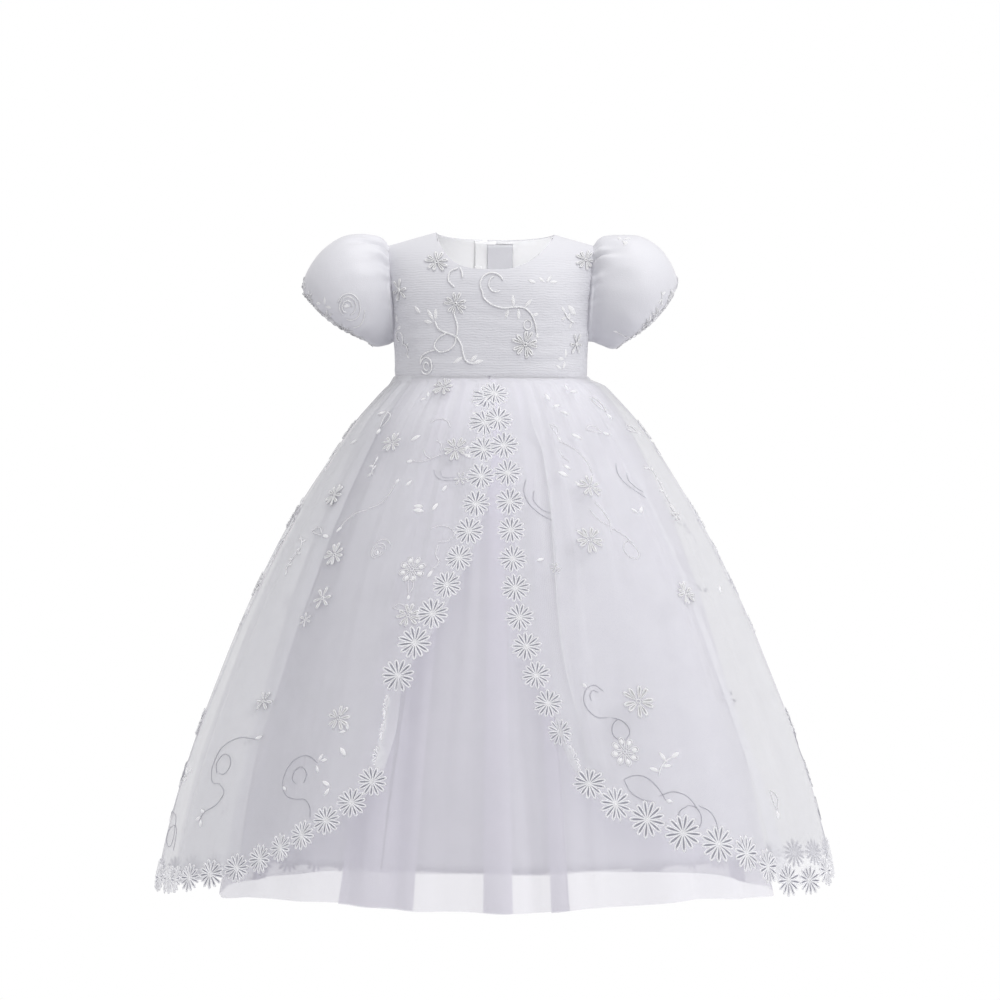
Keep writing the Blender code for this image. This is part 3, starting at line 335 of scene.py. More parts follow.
EdgePoint = namedtuple("EdgePoint", "angle drop")
EDGES = {
    1: table(
        EdgePoint,
        (-0.9, 0), (0.9, 40), (4.2, 66), (4.7, 115), (4.8, 170), (5.6, 220), (7.6, 262), (10.8, 305),
        (13, 345), (15, 368),
    ),
    -1: table(
        EdgePoint,
        (-1.5, 0), (-1.3, 60), (-2, 92), (-4.4, 140), (-8.8, 188), (-14, 238), (-19, 280),
        (-19.8, 320), (-20.5, 358),
    ),
}
HEM_EDGES = {
    1: table(
        EdgePoint,
        (15, 368), (18.5, 386), (24, 401), (30, 414), (37, 428), (45, 440), (51.5, 449),
        (57, 466), (62, 473), (68, 468), (76, 459), (90, 453), (112, 461), (135, 471),
        (180, 475),
    ),
    -1: table(
        EdgePoint,
        (-20.5, 358), (-23, 382), (-27, 400), (-31.5, 416), (-36.5, 429), (-42.5, 442),
        (-50, 456), (-58, 465), (-68, 471), (-90, 475), (-180, 475),
    ),
}
Curl = namedtuple("Curl", "depth centre_drop half_length reach")
CURLS = {-1: Curl(9.0, 322, 52, 16.0), 1: Curl(8.0, 350, 46, 16.0)}


# ---- numbers
def cubic_through(x, xs, ys, slopes):
    """Values at x of the cubics that join the rows of a table with the given slopes."""
    i = np.clip(np.searchsorted(xs, x, side="right") - 1, 0, len(xs) - 2)
    span = xs[i + 1] - xs[i]
    u = (x - xs[i]) / span
    return (
        ys[i] * (1 + 2 * u) * (1 - u) ** 2
        + slopes[i] * span * u * (1 - u) ** 2
        + ys[i + 1] * u * u * (3 - 2 * u)
        - slopes[i + 1] * span * u * u * (1 - u)
    )


def curve_through(xs, ys):
    """A smooth function through the rows of a table, straight beyond its ends."""
    xs, ys = np.array(xs, float), np.array(ys, float)
    steps = np.diff(ys) / np.diff(xs)
    slopes = np.concatenate([steps[:1], np.zeros(len(steps) - 1), steps[-1:]])
    for i, (before, after) in enumerate(zip(steps, steps[1:])):
        if before * after > 0:
            slopes[i + 1] = 2 / (1 / before + 1 / after)

    def value(x):
        x = np.asarray(x, float)
        inside = cubic_through(x, xs, ys, slopes)
        before = ys[0] + slopes[0] * (x - xs[0])
        after = ys[-1] + slopes[-1] * (x - xs[-1])
        return np.where(x < xs[0], before, np.where(x > xs[-1], after, inside))

    return value


def column_curve(rows, key, column):
    return curve_through([getattr(r, key) for r in rows], [getattr(r, column) for r in rows])


def smoothstep(x):
    x = np.clip(x, 0.0, 1.0)
    return x * x * (3 - 2 * x)


def superellipse_depth(sine, power):
    return np.maximum(0.0, 1 - np.abs(sine) ** power) ** (1 / power)


def swell(away):
    """A soft hump: 1 in the middle, 0 from 1 outwards."""
    return np.where(np.abs(away) < 1, (1 + np.cos(math.pi * np.clip(away, -1, 1))) / 2, 0.0)


def turn_between(angle, other):
    return (angle - other + 180.0) % 360.0 - 180.0


def points3(x, y, z):
    x, y, z = np.broadcast_arrays(x, y, z)
    return np.stack([x, y, z], axis=-1).astype(float)


def unit(vectors):
    return vectors / np.maximum(np.linalg.norm(vectors, axis=-1, keepdims=True), 1e-9)


# ---- meshes
def new_object(name, mesh, material, body="gown"):
    piece = bpy.data.objects.new(name, mesh)
    bpy.context.scene.collection.objects.link(piece)
    if material:
        mesh.materials.append(material)
    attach(piece, body)
    return piece


def mesh_from(name, points, faces, uvs=None, smooth=True):
    """A mesh from points in millimetres, with a UV map in metres where one is given."""
    mesh = bpy.data.meshes.new(name)
    mesh.from_pydata((np.asarray(points) * MM).tolist(), [], faces)
    mesh.polygons.foreach_set("use_smooth", [smooth] * len(mesh.polygons))
    if uvs is not None:
        loops = np.empty(len(mesh.loops), dtype=np.int64)
        mesh.loops.foreach_get("vertex_index", loops)
        layer = mesh.uv_layers.new(name="UVMap")
        layer.data.foreach_set("uv", (np.asarray(uvs)[loops] * MM).ravel())
    mesh.validate()
    return mesh


def grid_faces(rows, columns, around=False):
    faces = []
    for j in range(rows - 1):
        top, low = j * columns, (j + 1) * columns
        for i in range(columns if around else columns - 1):
            k = (i + 1) % columns
            faces.append((top + i, low + i, low + k, top + k))
    return faces


def lengths_along(points):
    steps = np.linalg.norm(np.diff(points, axis=0), axis=-1)
    return np.concatenate([[0.0], np.cumsum(steps)])


def cloth_uvs(grid):
    """Where each point of a grid lies on the flat cloth, from its hem and its middle column."""
    across = lengths_along(grid[-1])
    down = lengths_along(grid[:, grid.shape[1] // 2])
    return np.stack(np.broadcast_arrays(across[None, :], down[:, None]), axis=-1).reshape(-1, 2)


def apply_modifiers(piece):
    bpy.ops.object.select_all(action="DESELECT")
    bpy.context.view_layer.objects.active = piece
    piece.select_set(True)
    for modifier in list(piece.modifiers):
        bpy.ops.object.modifier_apply(modifier=modifier.name)
    piece.select_set(False)


def sheet_piece(name, grid, material, thickness=0.0, around=False, inside=None):
    """Cloth from a grid of points, rows downwards and columns towards its right, outer side out."""
    rows, columns = grid.shape[:2]
    faces = grid_faces(rows, columns, around)
    mesh = mesh_from(name, grid.reshape(-1, 3), faces, cloth_uvs(grid))
    piece = new_object(name, mesh, material)
    if thickness:
        wall = piece.modifiers.new("Thickness", "SOLIDIFY")
        wall.thickness = thickness
        wall.offset = -1.0
        wall.use_even_offset = False
        if inside:
            mesh.materials.append(inside)
            wall.material_offset = 1
        apply_modifiers(piece)
        piece.data.polygons.foreach_set("use_smooth", [True] * len(piece.data.polygons))
    return piece


def shade_calmly(piece, calm):
    """Gives doubled net the normals of the cloth without its pleats, so that only its layers show."""
    mesh = piece.data
    corners = np.empty(len(mesh.loops), dtype=np.int64)
    mesh.loops.foreach_get("vertex_index", corners)
    calm = calm.reshape(-1, 3)[corners]
    faces = np.empty(3 * len(mesh.polygons))
    mesh.polygons.foreach_get("normal", faces)
    corner_faces = np.repeat(faces.reshape(-1, 3), [p.loop_total for p in mesh.polygons], axis=0)
    facing = np.where((calm * corner_faces).sum(axis=-1) < 0, -1.0, 1.0)
    mesh.normals_split_custom_set((calm * facing[:, None]).tolist())


CALM_STEP = 0.0006  # of a panel


def calm_normals(surface, across, down):
    """The outward normals of a surface that is given by two numbers."""
    run = surface(across + CALM_STEP, down) - surface(across - CALM_STEP, down)
    fall = surface(across, down + CALM_STEP) - surface(across, down - CALM_STEP)
    normals = unit(np.cross(run, fall))
    place = surface(across, down)
    outward = (normals[..., :2] * place[..., :2]).sum(axis=-1)
    return normals * np.where(outward < 0, -1.0, 1.0)[..., None]


class Heap:
    """Points and faces that are gathered into one mesh."""

    def __init__(self):
        self.points, self.faces, self.marks, self.count = [], [], [], 0

    def add(self, points, faces, mark=0):
        self.points.append(np.asarray(points, float))
        self.faces += [tuple(i + self.count for i in face) for face in faces]
        self.marks += [mark] * len(faces)
        self.count += len(points)

    def piece(self, name, materials, body="gown", smooth=True):
        mesh = mesh_from(name, np.vstack(self.points), self.faces, smooth=smooth)
        piece = new_object(name, mesh, None, body)
        for material in materials:
            mesh.materials.append(material)
        if len(materials) > 1:
            mesh.polygons.foreach_set("material_index", self.marks)
        return piece


# ---- bodice shape
bodice_half_width = column_curve(BODICE, "z", "half_width")
bodice_depth = {
    "front": column_curve(BODICE, "z", "front_depth"),
    "back": column_curve(BODICE, "z", "back_depth"),
}


def shoulder_z(x):
    reach = np.hypot(x, SHOULDER_BEND) - SHOULDER_BEND
    whole = math.hypot(SHOULDER_TIP_X, SHOULDER_BEND) - SHOULDER_BEND
    return SHOULDER_PEAK_Z + (SHOULDER_TIP_Z - SHOULDER_PEAK_Z) * reach / whole


def bodice_ripple(panel, angle, z):
    """Soft uneven ripples across the bodice, and drag lines from the underarms."""
    phase = 0.0 if panel == "front" else 1.9
    ripple = 0.30 * np.sin(z / 2.1 + 1.6 * np.sin(angle / 17 + phase) + phase)
    ripple += 0.22 * np.sin(z / 3.7 + 2.2 * np.sin(angle / 23 + 1 + phase))
    ripple *= 0.6 + 0.4 * np.sin(angle / 11 + z / 15 + phase)
    low = smoothstep((-55 - z) / 60)
    drag = np.zeros(np.broadcast(angle, z).shape)
    for side in (-1, 1):
        away = np.abs(angle - side * 72)
        drag += swell(away / 34) * np.sin((z + 104 + 0.55 * away) / 4.6) * swell((z + 104) / 34)
        # A long soft hollow beside the chest, deeper on the wearer's right.
        drag -= (3.2 if side < 0 else 1.1) * swell((side * angle - 62) / 16) * swell((z + 118) / 40)
    edge = smoothstep((z - WAIST_Z) / 5)
    return (ripple * (0.35 + 0.65 * low) + 0.7 * drag) * edge


def bodice_surface(panel, angle, z):
    """Points on the bodice: angle 0 is the middle of the panel and 90 degrees is the side."""
    angle, z = np.broadcast_arrays(np.asarray(angle, float), np.asarray(z, float))
    sine = np.sin(np.radians(angle))
    x = bodice_half_width(z) * sine
    below = np.maximum(0.0, shoulder_z(x) - z) / ROUNDING[panel]
    rounding = np.sqrt(1 - (1 - np.minimum(below, 1.0)) ** 2)
    depth = bodice_depth[panel](z) * superellipse_depth(sine, BODICE_ROUNDNESS) * rounding
    place = points3(x, FACING[panel] * (depth + SEAM / 4), z)
    away = unit(points3(x / 91, FACING[panel] * depth / 72, 0.0))
    side = smoothstep((90 - np.abs(angle)) / 6) * smoothstep(below * 3)
    return place + away * (bodice_ripple(panel, angle, z) * side)[..., None]


def armhole_place(turn):
    """(angle, z) on the armhole: turn 0 is the shoulder tip and 180 degrees is the underarm."""
    down = (1 - np.cos(np.radians(turn))) / 2
    z = SHOULDER_TIP_Z + (UNDERARM_Z - SHOULDER_TIP_Z) * down
    angle = ARMHOLE_ANGLES[0] + (ARMHOLE_ANGLES[1] - ARMHOLE_ANGLES[0]) * down
    low = np.maximum(0.0, down - ARMHOLE_TURN) / (1 - ARMHOLE_TURN)
    return angle + (90.0 - angle) * (1 - np.sqrt(np.maximum(0.0, 1 - low * low))), z


def angle_at(x, z):
    return np.degrees(np.arcsin(np.clip(x / bodice_half_width(z), -1, 1)))


def neck_place(panel, across):
    """(angle, z) on the neck edge: across runs from -1 to 1 between the two neck points."""
    across = np.asarray(across, float)
    x = NECK_CENTRE_X + NECK_HALF_WIDTH * across
    right_end, left_end = (shoulder_z(NECK_CENTRE_X + side * NECK_HALF_WIDTH) for side in (-1, 1))
    end = right_end + (left_end - right_end) * (1 + across) / 2
    power = np.where(across > 0, NECK_SQUARENESS[1], NECK_SQUARENESS[-1])
    z = end - NECK_DROP[panel] * np.maximum(0.0, 1 - np.abs(across) ** power) ** 0.8
    return angle_at(x, z), z


def half_top(side):
    """Half a panel's upper edge: the armhole from underarm to tip, then the shoulder seam."""
    angles, heights = armhole_place(180.0 * (1 - np.linspace(0, 1, 27)))
    share = np.linspace(0, 1, 12)[1:]
    x = side * SHOULDER_TIP_X * (1 - share) + (NECK_CENTRE_X + side * NECK_HALF_WIDTH) * share
    z = shoulder_z(x)
    return np.concatenate([side * angles, angle_at(x, z)]), np.concatenate([heights, z])


def bodice_grid(panel, angles, heights, feet, rows):
    """Rows from the upper edge down to the waist."""
    rise = np.sin(np.radians(90.0 * (1 - np.arange(rows + 1) / rows)))[:, None]
    grid = bodice_surface(panel, feet + (angles - feet) * rise, WAIST_Z + (heights - WAIST_Z) * rise)
    grid[-1, :, 2] -= 2 * SEAM  # covers the seam
    return grid


def waist_angles(angles):
    return 0.6 * np.linspace(angles[0], angles[-1], len(angles)) + 0.4 * angles


def front_grid():
    right, left = half_top(-1), half_top(1)
    neck = neck_place("front", np.linspace(-1, 1, 50)[1:-1])
    angles = np.concatenate([right[0], neck[0], left[0][::-1]])
    heights = np.concatenate([right[1], neck[1], left[1][::-1]])
    return bodice_grid("front", angles, heights, waist_angles(angles), 84)


def back_grid(side):
    edge_x = BACK_CENTRE_X + side * 2.4
    angles, heights = half_top(side)
    end = (edge_x - NECK_CENTRE_X) / NECK_HALF_WIDTH
    neck = neck_place("back", np.linspace(side, end, 24)[1:])
    angles, heights = np.concatenate([angles, neck[0]]), np.concatenate([heights, neck[1]])
    feet = waist_angles(angles)
    feet[-1] = angle_at(edge_x, WAIST_Z)
    grid = bodice_grid("back", angles, heights, feet, 76)
    grid[:, -1, 0] = edge_x
    return grid if side > 0 else grid[:, ::-1]


# ---- sleeve shape
SLEEVE_TURNS = 168
SLEEVE_ROWS = 66
SLEEVE_END = 7.0  # its last ring, at the cuff


def sleeve_rings(side, turns):
    """The armhole and the seven rings of a sleeve at the given turns: 0 is the top, 90 the front."""
    low = np.where(turns <= 180, turns, 360 - turns)
    angle, z = armhole_place(low)
    front = bodice_surface("front", side * angle, z)
    back = bodice_surface("back", side * angle, z)
    hole = np.where((turns <= 180)[:, None], front, back) + np.array([side * SEAM, 0, 0])
    rings = [hole]
    for ring in SLEEVES[side]:
        top = np.array([side * ring.top_x, 0, ring.top_z])
        bottom = np.array([side * ring.bottom_x, 0, ring.bottom_z])
        rise = top - bottom
        away = unit(np.array([side * abs(rise[2]), 0, -abs(rise[0])]))
        cosine, sine = np.cos(np.radians(turns)), np.sin(np.radians(turns))
        place = (top + bottom) / 2 + rise / 2 * cosine[:, None]
        place[:, 1] = -ring.half_depth * sine
        rings.append(place + away * (ring.bow * sine**2)[:, None])
    return np.array(rings)


SLEEVE_MIDDLES = {side: sleeve_rings(side, np.arange(0, 360, 15.0)).mean(axis=1) for side in (-1, 1)}


def sleeve_surface(side, turns, along):
    """Points on a puff sleeve: along runs from 0 at the armhole to 7 at the cuff."""
    turns, along = np.broadcast_arrays(np.asarray(turns, float) % 360, np.asarray(along, float))
    shape = turns.shape
    turns, along = turns.ravel(), along.ravel()
    rings = sleeve_rings(side, turns)
    last = len(rings) - 1
    i = np.clip(along.astype(int), 0, last - 1)
    u = (along - i)[:, None]
    column = np.arange(len(turns))
    p0, p1 = rings[np.maximum(i - 1, 0), column], rings[i, column]
    p2, p3 = rings[i + 1, column], rings[np.minimum(i + 2, last), column]
    place = 0.5 * (
        2 * p1
        + (p2 - p0) * u
        + (2 * p0 - 5 * p1 + 4 * p2 - p3) * u**2
        + (3 * p1 - p0 - 3 * p2 + p3) * u**3
    )
    middle = SLEEVE_MIDDLES[side]
    away = unit(place - middle[i] * (1 - u) - middle[i + 1] * u)
    height = sleeve_gathers(side, turns, along)
    return (place + away * height[:, None]).reshape(*shape, 3)


# Tucks that fan out of the armhole's upper front: turn, depth, spread and how far along they run.
SLEEVE_TUCKS = {
    -1: [
        (30, 9.5, 8, 3.6), (58, 2.6, 9, 2.6), (18, 2.4, 8, 2.8),
        (78, 1.8, 8, 2.2), (-20, 4.0, 12, 2.8), (-52, 2.4, 9, 2.4),
    ],
    1: [
        (48, 7.5, 8, 3.0), (30, 2.8, 9, 2.6), (70, 2.4, 8, 2.2),
        (10, 2.0, 8, 2.4), (-26, 4.0, 12, 2.8), (-60, 2.2, 9, 2.2),
    ],
}
CREASE_SHARE = 0.7


def sleeve_gathers(side, turns, along):
    """Gathers that fan from the cap and from the cuff, and the larger soft creases."""
    cap = np.clip(np.cos(np.radians(turns)) * 0.75 + 0.45, 0, 1)
    wander = turns + 5 * np.sin(np.radians(turns * 3 + side * 40))
    fan = np.sin(np.radians(wander * 21)) * 0.7 + np.sin(np.radians(wander * 34 + 70)) * 0.4
    height = 1.5 * cap * fan * smoothstep(along / 0.35) * (1 - smoothstep((along - 0.5) / 1.3))
    tuck = np.sin(np.radians(wander * 27 + 30)) * 0.7 + np.sin(np.radians(wander * 41)) * 0.4
    height += 1.25 * tuck * smoothstep((along - 5.1) / 1.6)
    # The fold that stands along the front of the armhole.
    height += 1.7 * swell((along - 0.3) / 0.24) * swell((turns - 95) / 60)
    for turn, depth, spread, reach in SLEEVE_TUCKS[side]:
        fan = turn_between(turns, turn) / (spread * (0.45 + along / reach))
        height -= depth * swell(fan) * smoothstep(along / 0.3) * (1 - smoothstep(along / reach))
    for crease in SLEEVE_CREASES[side]:
        middle, half = (crease.first + crease.last) / 2, (crease.last - crease.first) / 2
        fan = swell(turn_between(turns, crease.turn) / crease.spread)
        height += crease.depth * CREASE_SHARE * fan * swell((along - middle) / half)
    return height


def sleeve_grid(side):
    turns = 360.0 * np.arange(SLEEVE_TURNS) / SLEEVE_TURNS
    along = SLEEVE_END * (np.arange(SLEEVE_ROWS + 1) / SLEEVE_ROWS)
    grid = sleeve_surface(side, turns[None, :], along[:, None])
    # The first row is tucked under the bodice, so that the seam is closed.
    grid[0] += unit(SLEEVE_MIDDLES[side][0] - grid[0]) * SEAM - np.array([side * 3 * SEAM, 0, 0])
    return grid[:, ::-1] if side > 0 else grid


# ---- skirt shape
skirt_half = {
    layer: {
        "width": column_curve(SKIRTS, "drop", layer + "_width"),
        "depth": column_curve(SKIRTS, "drop", layer + "_depth"),
    }
    for layer in ("over", "net", "lining")
}


def gather_table(count, depth, spread, seed):
    """Small uneven gathers that fan from the waist: angle, depth, spread and length of each."""
    chance = random.Random(seed)
    rows = []
    for i in range(count):
        angle = -180 + 360 * (i + chance.uniform(-0.35, 0.35)) / count
        sign = -1 if i % 2 else 1
        height = sign * depth * chance.uniform(0.4, 1.0)
        rows.append((angle, height, spread * chance.uniform(0.7, 1.3), chance.uniform(35, 150)))
    return rows


GATHER_ROWS = {layer: gather_table(*GATHERS[layer]) for layer in GATHERS}


def fold_depth(layer, angle, drop):
    """How far folds, ridges and gathers push the cloth out at each place."""
    total = np.zeros(np.broadcast(angle, drop).shape)
    for fold in FOLDS[layer]:
        grown = np.maximum(drop - fold.start, 0.0) / (HEMS[layer] - fold.start)
        total += fold.depth * swell(turn_between(angle, fold.angle) / fold.spread) * grown**FOLD_GROWTH
    for ridge in RIDGES[layer]:
        fade = smoothstep((drop - ridge.top) / 70) * (1 - smoothstep((drop - ridge.bottom + 60) / 75))
        if ridge.bottom > 440:
            fade = smoothstep((drop - ridge.top) / 70)
        sway = ridge.angle + 1.2 * np.sin(drop / 60 + ridge.angle)
        total += ridge.depth * swell(turn_between(angle, sway) / ridge.spread) * fade
    for place, depth, spread, length in GATHER_ROWS[layer]:
        fade = smoothstep(drop / 9) * (1 - smoothstep((drop - 12) / length))
        total += depth * swell(turn_between(angle, place) / spread) * fade
    return total


def skirt_surface(layer, angle, drop, turned_in=0.0):
    """Points on a skirt layer: angle 0 is the centre front."""
    angle, drop = np.broadcast_arrays(np.asarray(angle, float), np.asarray(drop, float))
    width, depth = skirt_half[layer]["width"](drop), skirt_half[layer]["depth"](drop)
    shift = SKIRT_SHIFT * smoothstep(drop / SKIRT_SHIFT_DROP)
    if layer == "over":
        lean = np.degrees(np.arcsin((BACK_CENTRE_X - shift) / width))
        angle = angle - lean * (np.abs(angle) / 180) ** 4
    sine, cosine = np.sin(np.radians(angle)), np.cos(np.radians(angle))
    top, low, changed = SKIRT_ROUNDNESS
    power = top + (low - top) * smoothstep(drop / changed)
    y = -np.copysign(depth * superellipse_depth(sine, power), cosine)
    out = unit(points3(width * sine, y, 0.0))
    place = points3(width * sine + shift, y, WAIST_Z - SEAM - drop)
    return place + out * (fold_depth(layer, angle, drop) - turned_in)[..., None]


def path_along(points):
    """Functions that give angle and drop at a share of the way along a table of edge points."""
    angles, drops = np.array([p.angle for p in points]), np.array([p.drop for p in points], float)
    reach = lengths_along(skirt_surface("over", angles, drops))
    share = reach / reach[-1]
    return curve_through(share, angles), curve_through(share, drops)


HEM_PATHS = {side: path_along(HEM_EDGES[side]) for side in (-1, 1)}
EDGE_ANGLES = {side: column_curve(EDGES[side], "drop", "angle") for side in (-1, 1)}


def over_place(side, share, grown):
    """(angle, drop) on one half of the overskirt: share 0 is the front edge, 1 the back seam."""
    first, knee = EDGES[side][0], EDGES[side][-1]
    foot_angle, foot_drop = (path(share) for path in HEM_PATHS[side])
    top_angle = first.angle + (side * 180.0 - first.angle) * share
    straight = first.angle + (knee.angle - first.angle) * grown
    bow = (EDGE_ANGLES[side](grown * knee.drop) - straight) * np.clip(1 - share, 0, 2) ** 4
    return top_angle + (foot_angle - top_angle) * grown + bow, foot_drop * grown


def over_surface(side, share, grown, out=0.0):
    angle, drop = over_place(side, share, grown)
    edge_angle = over_place(side, 0.0, grown)[0]
    curl = CURLS[side]
    across = np.radians(side * (angle - edge_angle)) * skirt_half["over"]["width"](drop) / curl.reach
    roll = np.where(across > 0, np.exp(-np.maximum(across, 0.0)), 1 - across)
    turned_in = curl.depth * swell((drop - curl.centre_drop) / curl.half_length) * roll
    return skirt_surface("over", angle, drop, turned_in - out)


PLEAT_COLUMNS = 30


def pleated(columns, pleats, grown):
    """Places across a panel and heights above it, doubling back over each pleat."""
    grown = grown[:, None]
    places, heights = [], []
    start = np.zeros_like(grown)
    free = columns - PLEAT_COLUMNS * len(pleats)
    stops = [0.0] + [p.low_place for p in pleats] + [1.0]
    for number, reach in enumerate(np.diff(stops)):
        last = number == len(pleats)
        if last:
            end = np.ones_like(grown)
        else:
            pleat = pleats[number]
            middle = pleat.top_place + (pleat.low_place - pleat.top_place) * grown
            half = (pleat.top_width + (pleat.low_width - pleat.top_width) * grown) / 2
            end = middle - half
        count = max(4, round(free * reach))
        steps = np.linspace(0, 1, count + 1)[None, :]
        places.append(start + (end - start) * steps)
        sunk = 0.0 if last else 2 * pleats[number].gap
        heights.append(np.broadcast_to(-sunk * smoothstep((steps - 0.6) / 0.4), places[-1].shape))
        if not last:
            # The phase runs across the pleat, back under it, and on again.
            phase = np.linspace(0, 3, PLEAT_COLUMNS + 1)[None, 1:-1]
            fold = np.where(phase < 1, phase * 2 - 1, np.where(phase < 2, 3 - 2 * phase, 2 * phase - 5))
            places.append(middle + half * fold)
            step = -2 + smoothstep((phase - 0.82) / 0.36) + smoothstep((phase - 1.82) / 0.36)
            heights.append(np.broadcast_to(step * pleat.gap, places[-1].shape))
            start = middle + half
    return np.concatenate(places, axis=1), np.concatenate(heights, axis=1)


WAIST_PUFF = 0.9
WAIST_TUCK = 0.984
ROW_SPREAD = 1.3  # over 1, so that rows lie closer near the waist
PLEATS_GROW_IN = 1 / 12


def over_grid(side):
    """One half of the overskirt, rows from waist to hem, columns from its right to its left."""
    grown = np.linspace(0, 1, 105) ** ROW_SPREAD
    panel = "over " + SIDES[side]
    share, height = pleated(260, PLEATS[panel], grown)
    fade = smoothstep(grown / PLEATS_GROW_IN)[:, None]
    down = np.broadcast_to(grown[:, None], share.shape)
    grid = over_surface(side, share, down, height * fade)
    grid[:, -1, 0] = BACK_CENTRE_X + side * SEAM / 4
    # The gathered edge puffs up over the lower edge of the bodice.
    puff = WAIST_PUFF * smoothstep(share[0] * 60)[:, None]
    grid[0] += unit(grid[0] * (1, 1, 0)) * puff + puff * (0, 0, 2)
    grid[0, :, 0] *= WAIST_TUCK
    calm = calm_normals(lambda a, b: over_surface(side, a, b, pressed_edge(panel, a, b)), share, down)
    return (grid, calm) if side > 0 else (grid[:, ::-1], calm[:, ::-1])


def round_grid(layer, panel, columns, rows, pleats=()):
    """A front or back panel of an under layer, between its two side seams."""
    grown = np.linspace(0, 1, rows + 1) ** ROW_SPREAD
    share, height = pleated(columns, pleats, grown)
    first = -90.0 if panel == "front" else 90.0
    angle = first + 180.0 * share
    rise = HEM_RISE[layer] * np.sin(np.radians(2 * angle)) ** 2
    drop = (HEMS[layer] - rise) * grown[:, None]
    fade = smoothstep(grown / PLEATS_GROW_IN)[:, None]
    grid = skirt_surface(layer, angle, drop, -height * fade)
    if layer == "net":
        grid[-1, :, 2] += 0.7 * np.sin(np.arange(grid.shape[1]) * 0.23)

    def unpleated(a, b):
        edge = pressed_edge(layer + " " + panel, a, b)
        return skirt_surface(layer, first + 180.0 * a, b * HEMS[layer], -edge)

    return grid, calm_normals(unpleated, share, drop / HEMS[layer])


# ---- stitched shapes, lying flat as (u, v, height)
def thread(path, radius, sides=5, closed=False, shares=1.0):
    """A cord that lies along a path on the cloth, thinner at its free ends."""
    path = np.asarray(path, float)
    if closed:
        ahead, behind = np.roll(path, -1, axis=0), np.roll(path, 1, axis=0)
        along = unit(ahead - behind)
        size = np.full(len(path), radius) * shares
    else:
        along = unit(np.gradient(path, axis=0))
        ends = np.minimum(np.arange(len(path)), np.arange(len(path))[::-1])
        size = radius * (0.45 + 0.55 * smoothstep((ends + 0.3) / 1.5))
    side = np.stack([-along[:, 1], along[:, 0]], axis=-1)
    turns = 2 * math.pi * np.arange(sides) / sides
    rings = np.zeros((len(path), sides, 3))
    rings[..., :2] = path[:, None] + side[:, None] * (np.cos(turns)[None, :] * size[:, None])[..., None]
    rings[..., 2] = radius * 0.75 + np.sin(turns)[None, :] * size[:, None]
    faces = []
    count = len(path)
    for j in range(count if closed else count - 1):
        k = (j + 1) % count
        for i in range(sides):
            n = (i + 1) % sides
            faces.append((j * sides + i, j * sides + n, k * sides + n, k * sides + i))
    if not closed:
        faces.append(tuple(range(sides))[::-1])
        faces.append(tuple(range((count - 1) * sides, count * sides)))
    return rings.reshape(-1, 3), faces


def satin_petal(length, width, rise, vein=0.45):
    """A domed block of satin stitch from 0 to length along u, with its vein pressed in."""
    t = np.linspace(0.02, 0.98, 8)[:, None]
    s = np.linspace(-1, 1, 7)[None, :]
    outline = np.sin(math.pi * t) ** 0.75
    v = s * width / 2 * outline
    u = t * length + 0 * s
    dome = (1 - s**4) * outline**0.6 * (1 - vein * np.exp(-((s / 0.3) ** 2)))
    ridges = 0.12 * np.cos(math.pi * np.arange(8))[:, None] * (1 - s**2)
    h = rise * (dome + ridges) - 0.15
    return np.stack([u, v, h], axis=-1).reshape(-1, 3), [face[::-1] for face in grid_faces(8, 7)]


def moved(shape, at=(0.0, 0.0), turn=0.0, size=1.0):
    points, faces, *mark = shape
    cosine, sine = math.cos(math.radians(turn)), math.sin(math.radians(turn))
    out = points.copy() * size
    u, v = out[:, 0].copy(), out[:, 1].copy()
    out[:, 0] = at[0] + u * cosine - v * sine
    out[:, 1] = at[1] + u * sine + v * cosine
    return (out, faces, *mark)


def arc(centre, radius, start, end, squash=1.0, *, count):
    turns = np.radians(np.linspace(start, end, count))
    u, v = radius * np.cos(turns), squash * radius * np.sin(turns)
    return np.stack([centre[0] + u, centre[1] + v], axis=-1)


def spiral(centre, radius, start, end, shrink, count):
    turns = np.radians(np.linspace(start, end, count))
    size = radius * np.linspace(1.0, shrink, count)
    return np.stack([centre[0] + size * np.cos(turns), centre[1] + size * np.sin(turns)], axis=-1)


def corded_petal(inner, outer, half_width, cord, turn, steps=11):
    """A petal as a raised cord round flat stitching, which lies lower and is marked 1; the mark gives it
    a greyer material, painted shade in the petal's slit.
    """
    loop = petal_loop(inner, outer, half_width, steps)
    shares = 0.35 + 0.65 * (loop[:, 0] - inner) / (outer - inner)
    web = np.column_stack([loop, np.full(steps, cord * 0.6)])
    return [
        moved(thread(loop, cord, 5, closed=True, shares=shares), turn=turn),
        moved((web, [tuple(range(steps))], 1), turn=turn),
    ]


def bloom(petals, radius, cord):
    """A flower of separate raised petals, each with its slit of painted shade, round a knot."""
    shapes = []
    for k in range(petals):
        turn = 360.0 * k / petals + (5 if k % 2 else -4)
        reach = radius * (0.88, 1.0, 0.94)[k % 3]
        edge = min(cord * 1.7, radius * 0.072)
        shapes += corded_petal(radius * 0.2, reach, radius * 0.105, edge, turn)
    shapes.append(thread(arc((0, 0), radius * 0.13, 0, 330, count=8), cord * 1.1, 4, closed=True))
    return shapes


def polar(reach, turn):
    return reach * math.cos(math.radians(turn)), reach * math.sin(math.radians(turn))


def open_bloom(petals, radius, cord):
    """A flower whose petals are corded loops with a small filled tip."""
    shapes = []
    for k in range(petals):
        turn = 360.0 * k / petals + 11
        loop = petal_loop(radius * 0.22, radius, radius * 0.22, 10)
        shapes.append(moved(thread(loop, cord, 4, closed=True), turn=turn))
        tip = satin_petal(radius * 0.42, radius * 0.30, 1.0, vein=0.2)
        shapes.append(moved(tip, polar(radius * 0.5, turn), turn))
    shapes.append(thread(arc((0, 0), radius * 0.14, 0, 330, count=7), cord, 4, closed=True))
    return shapes


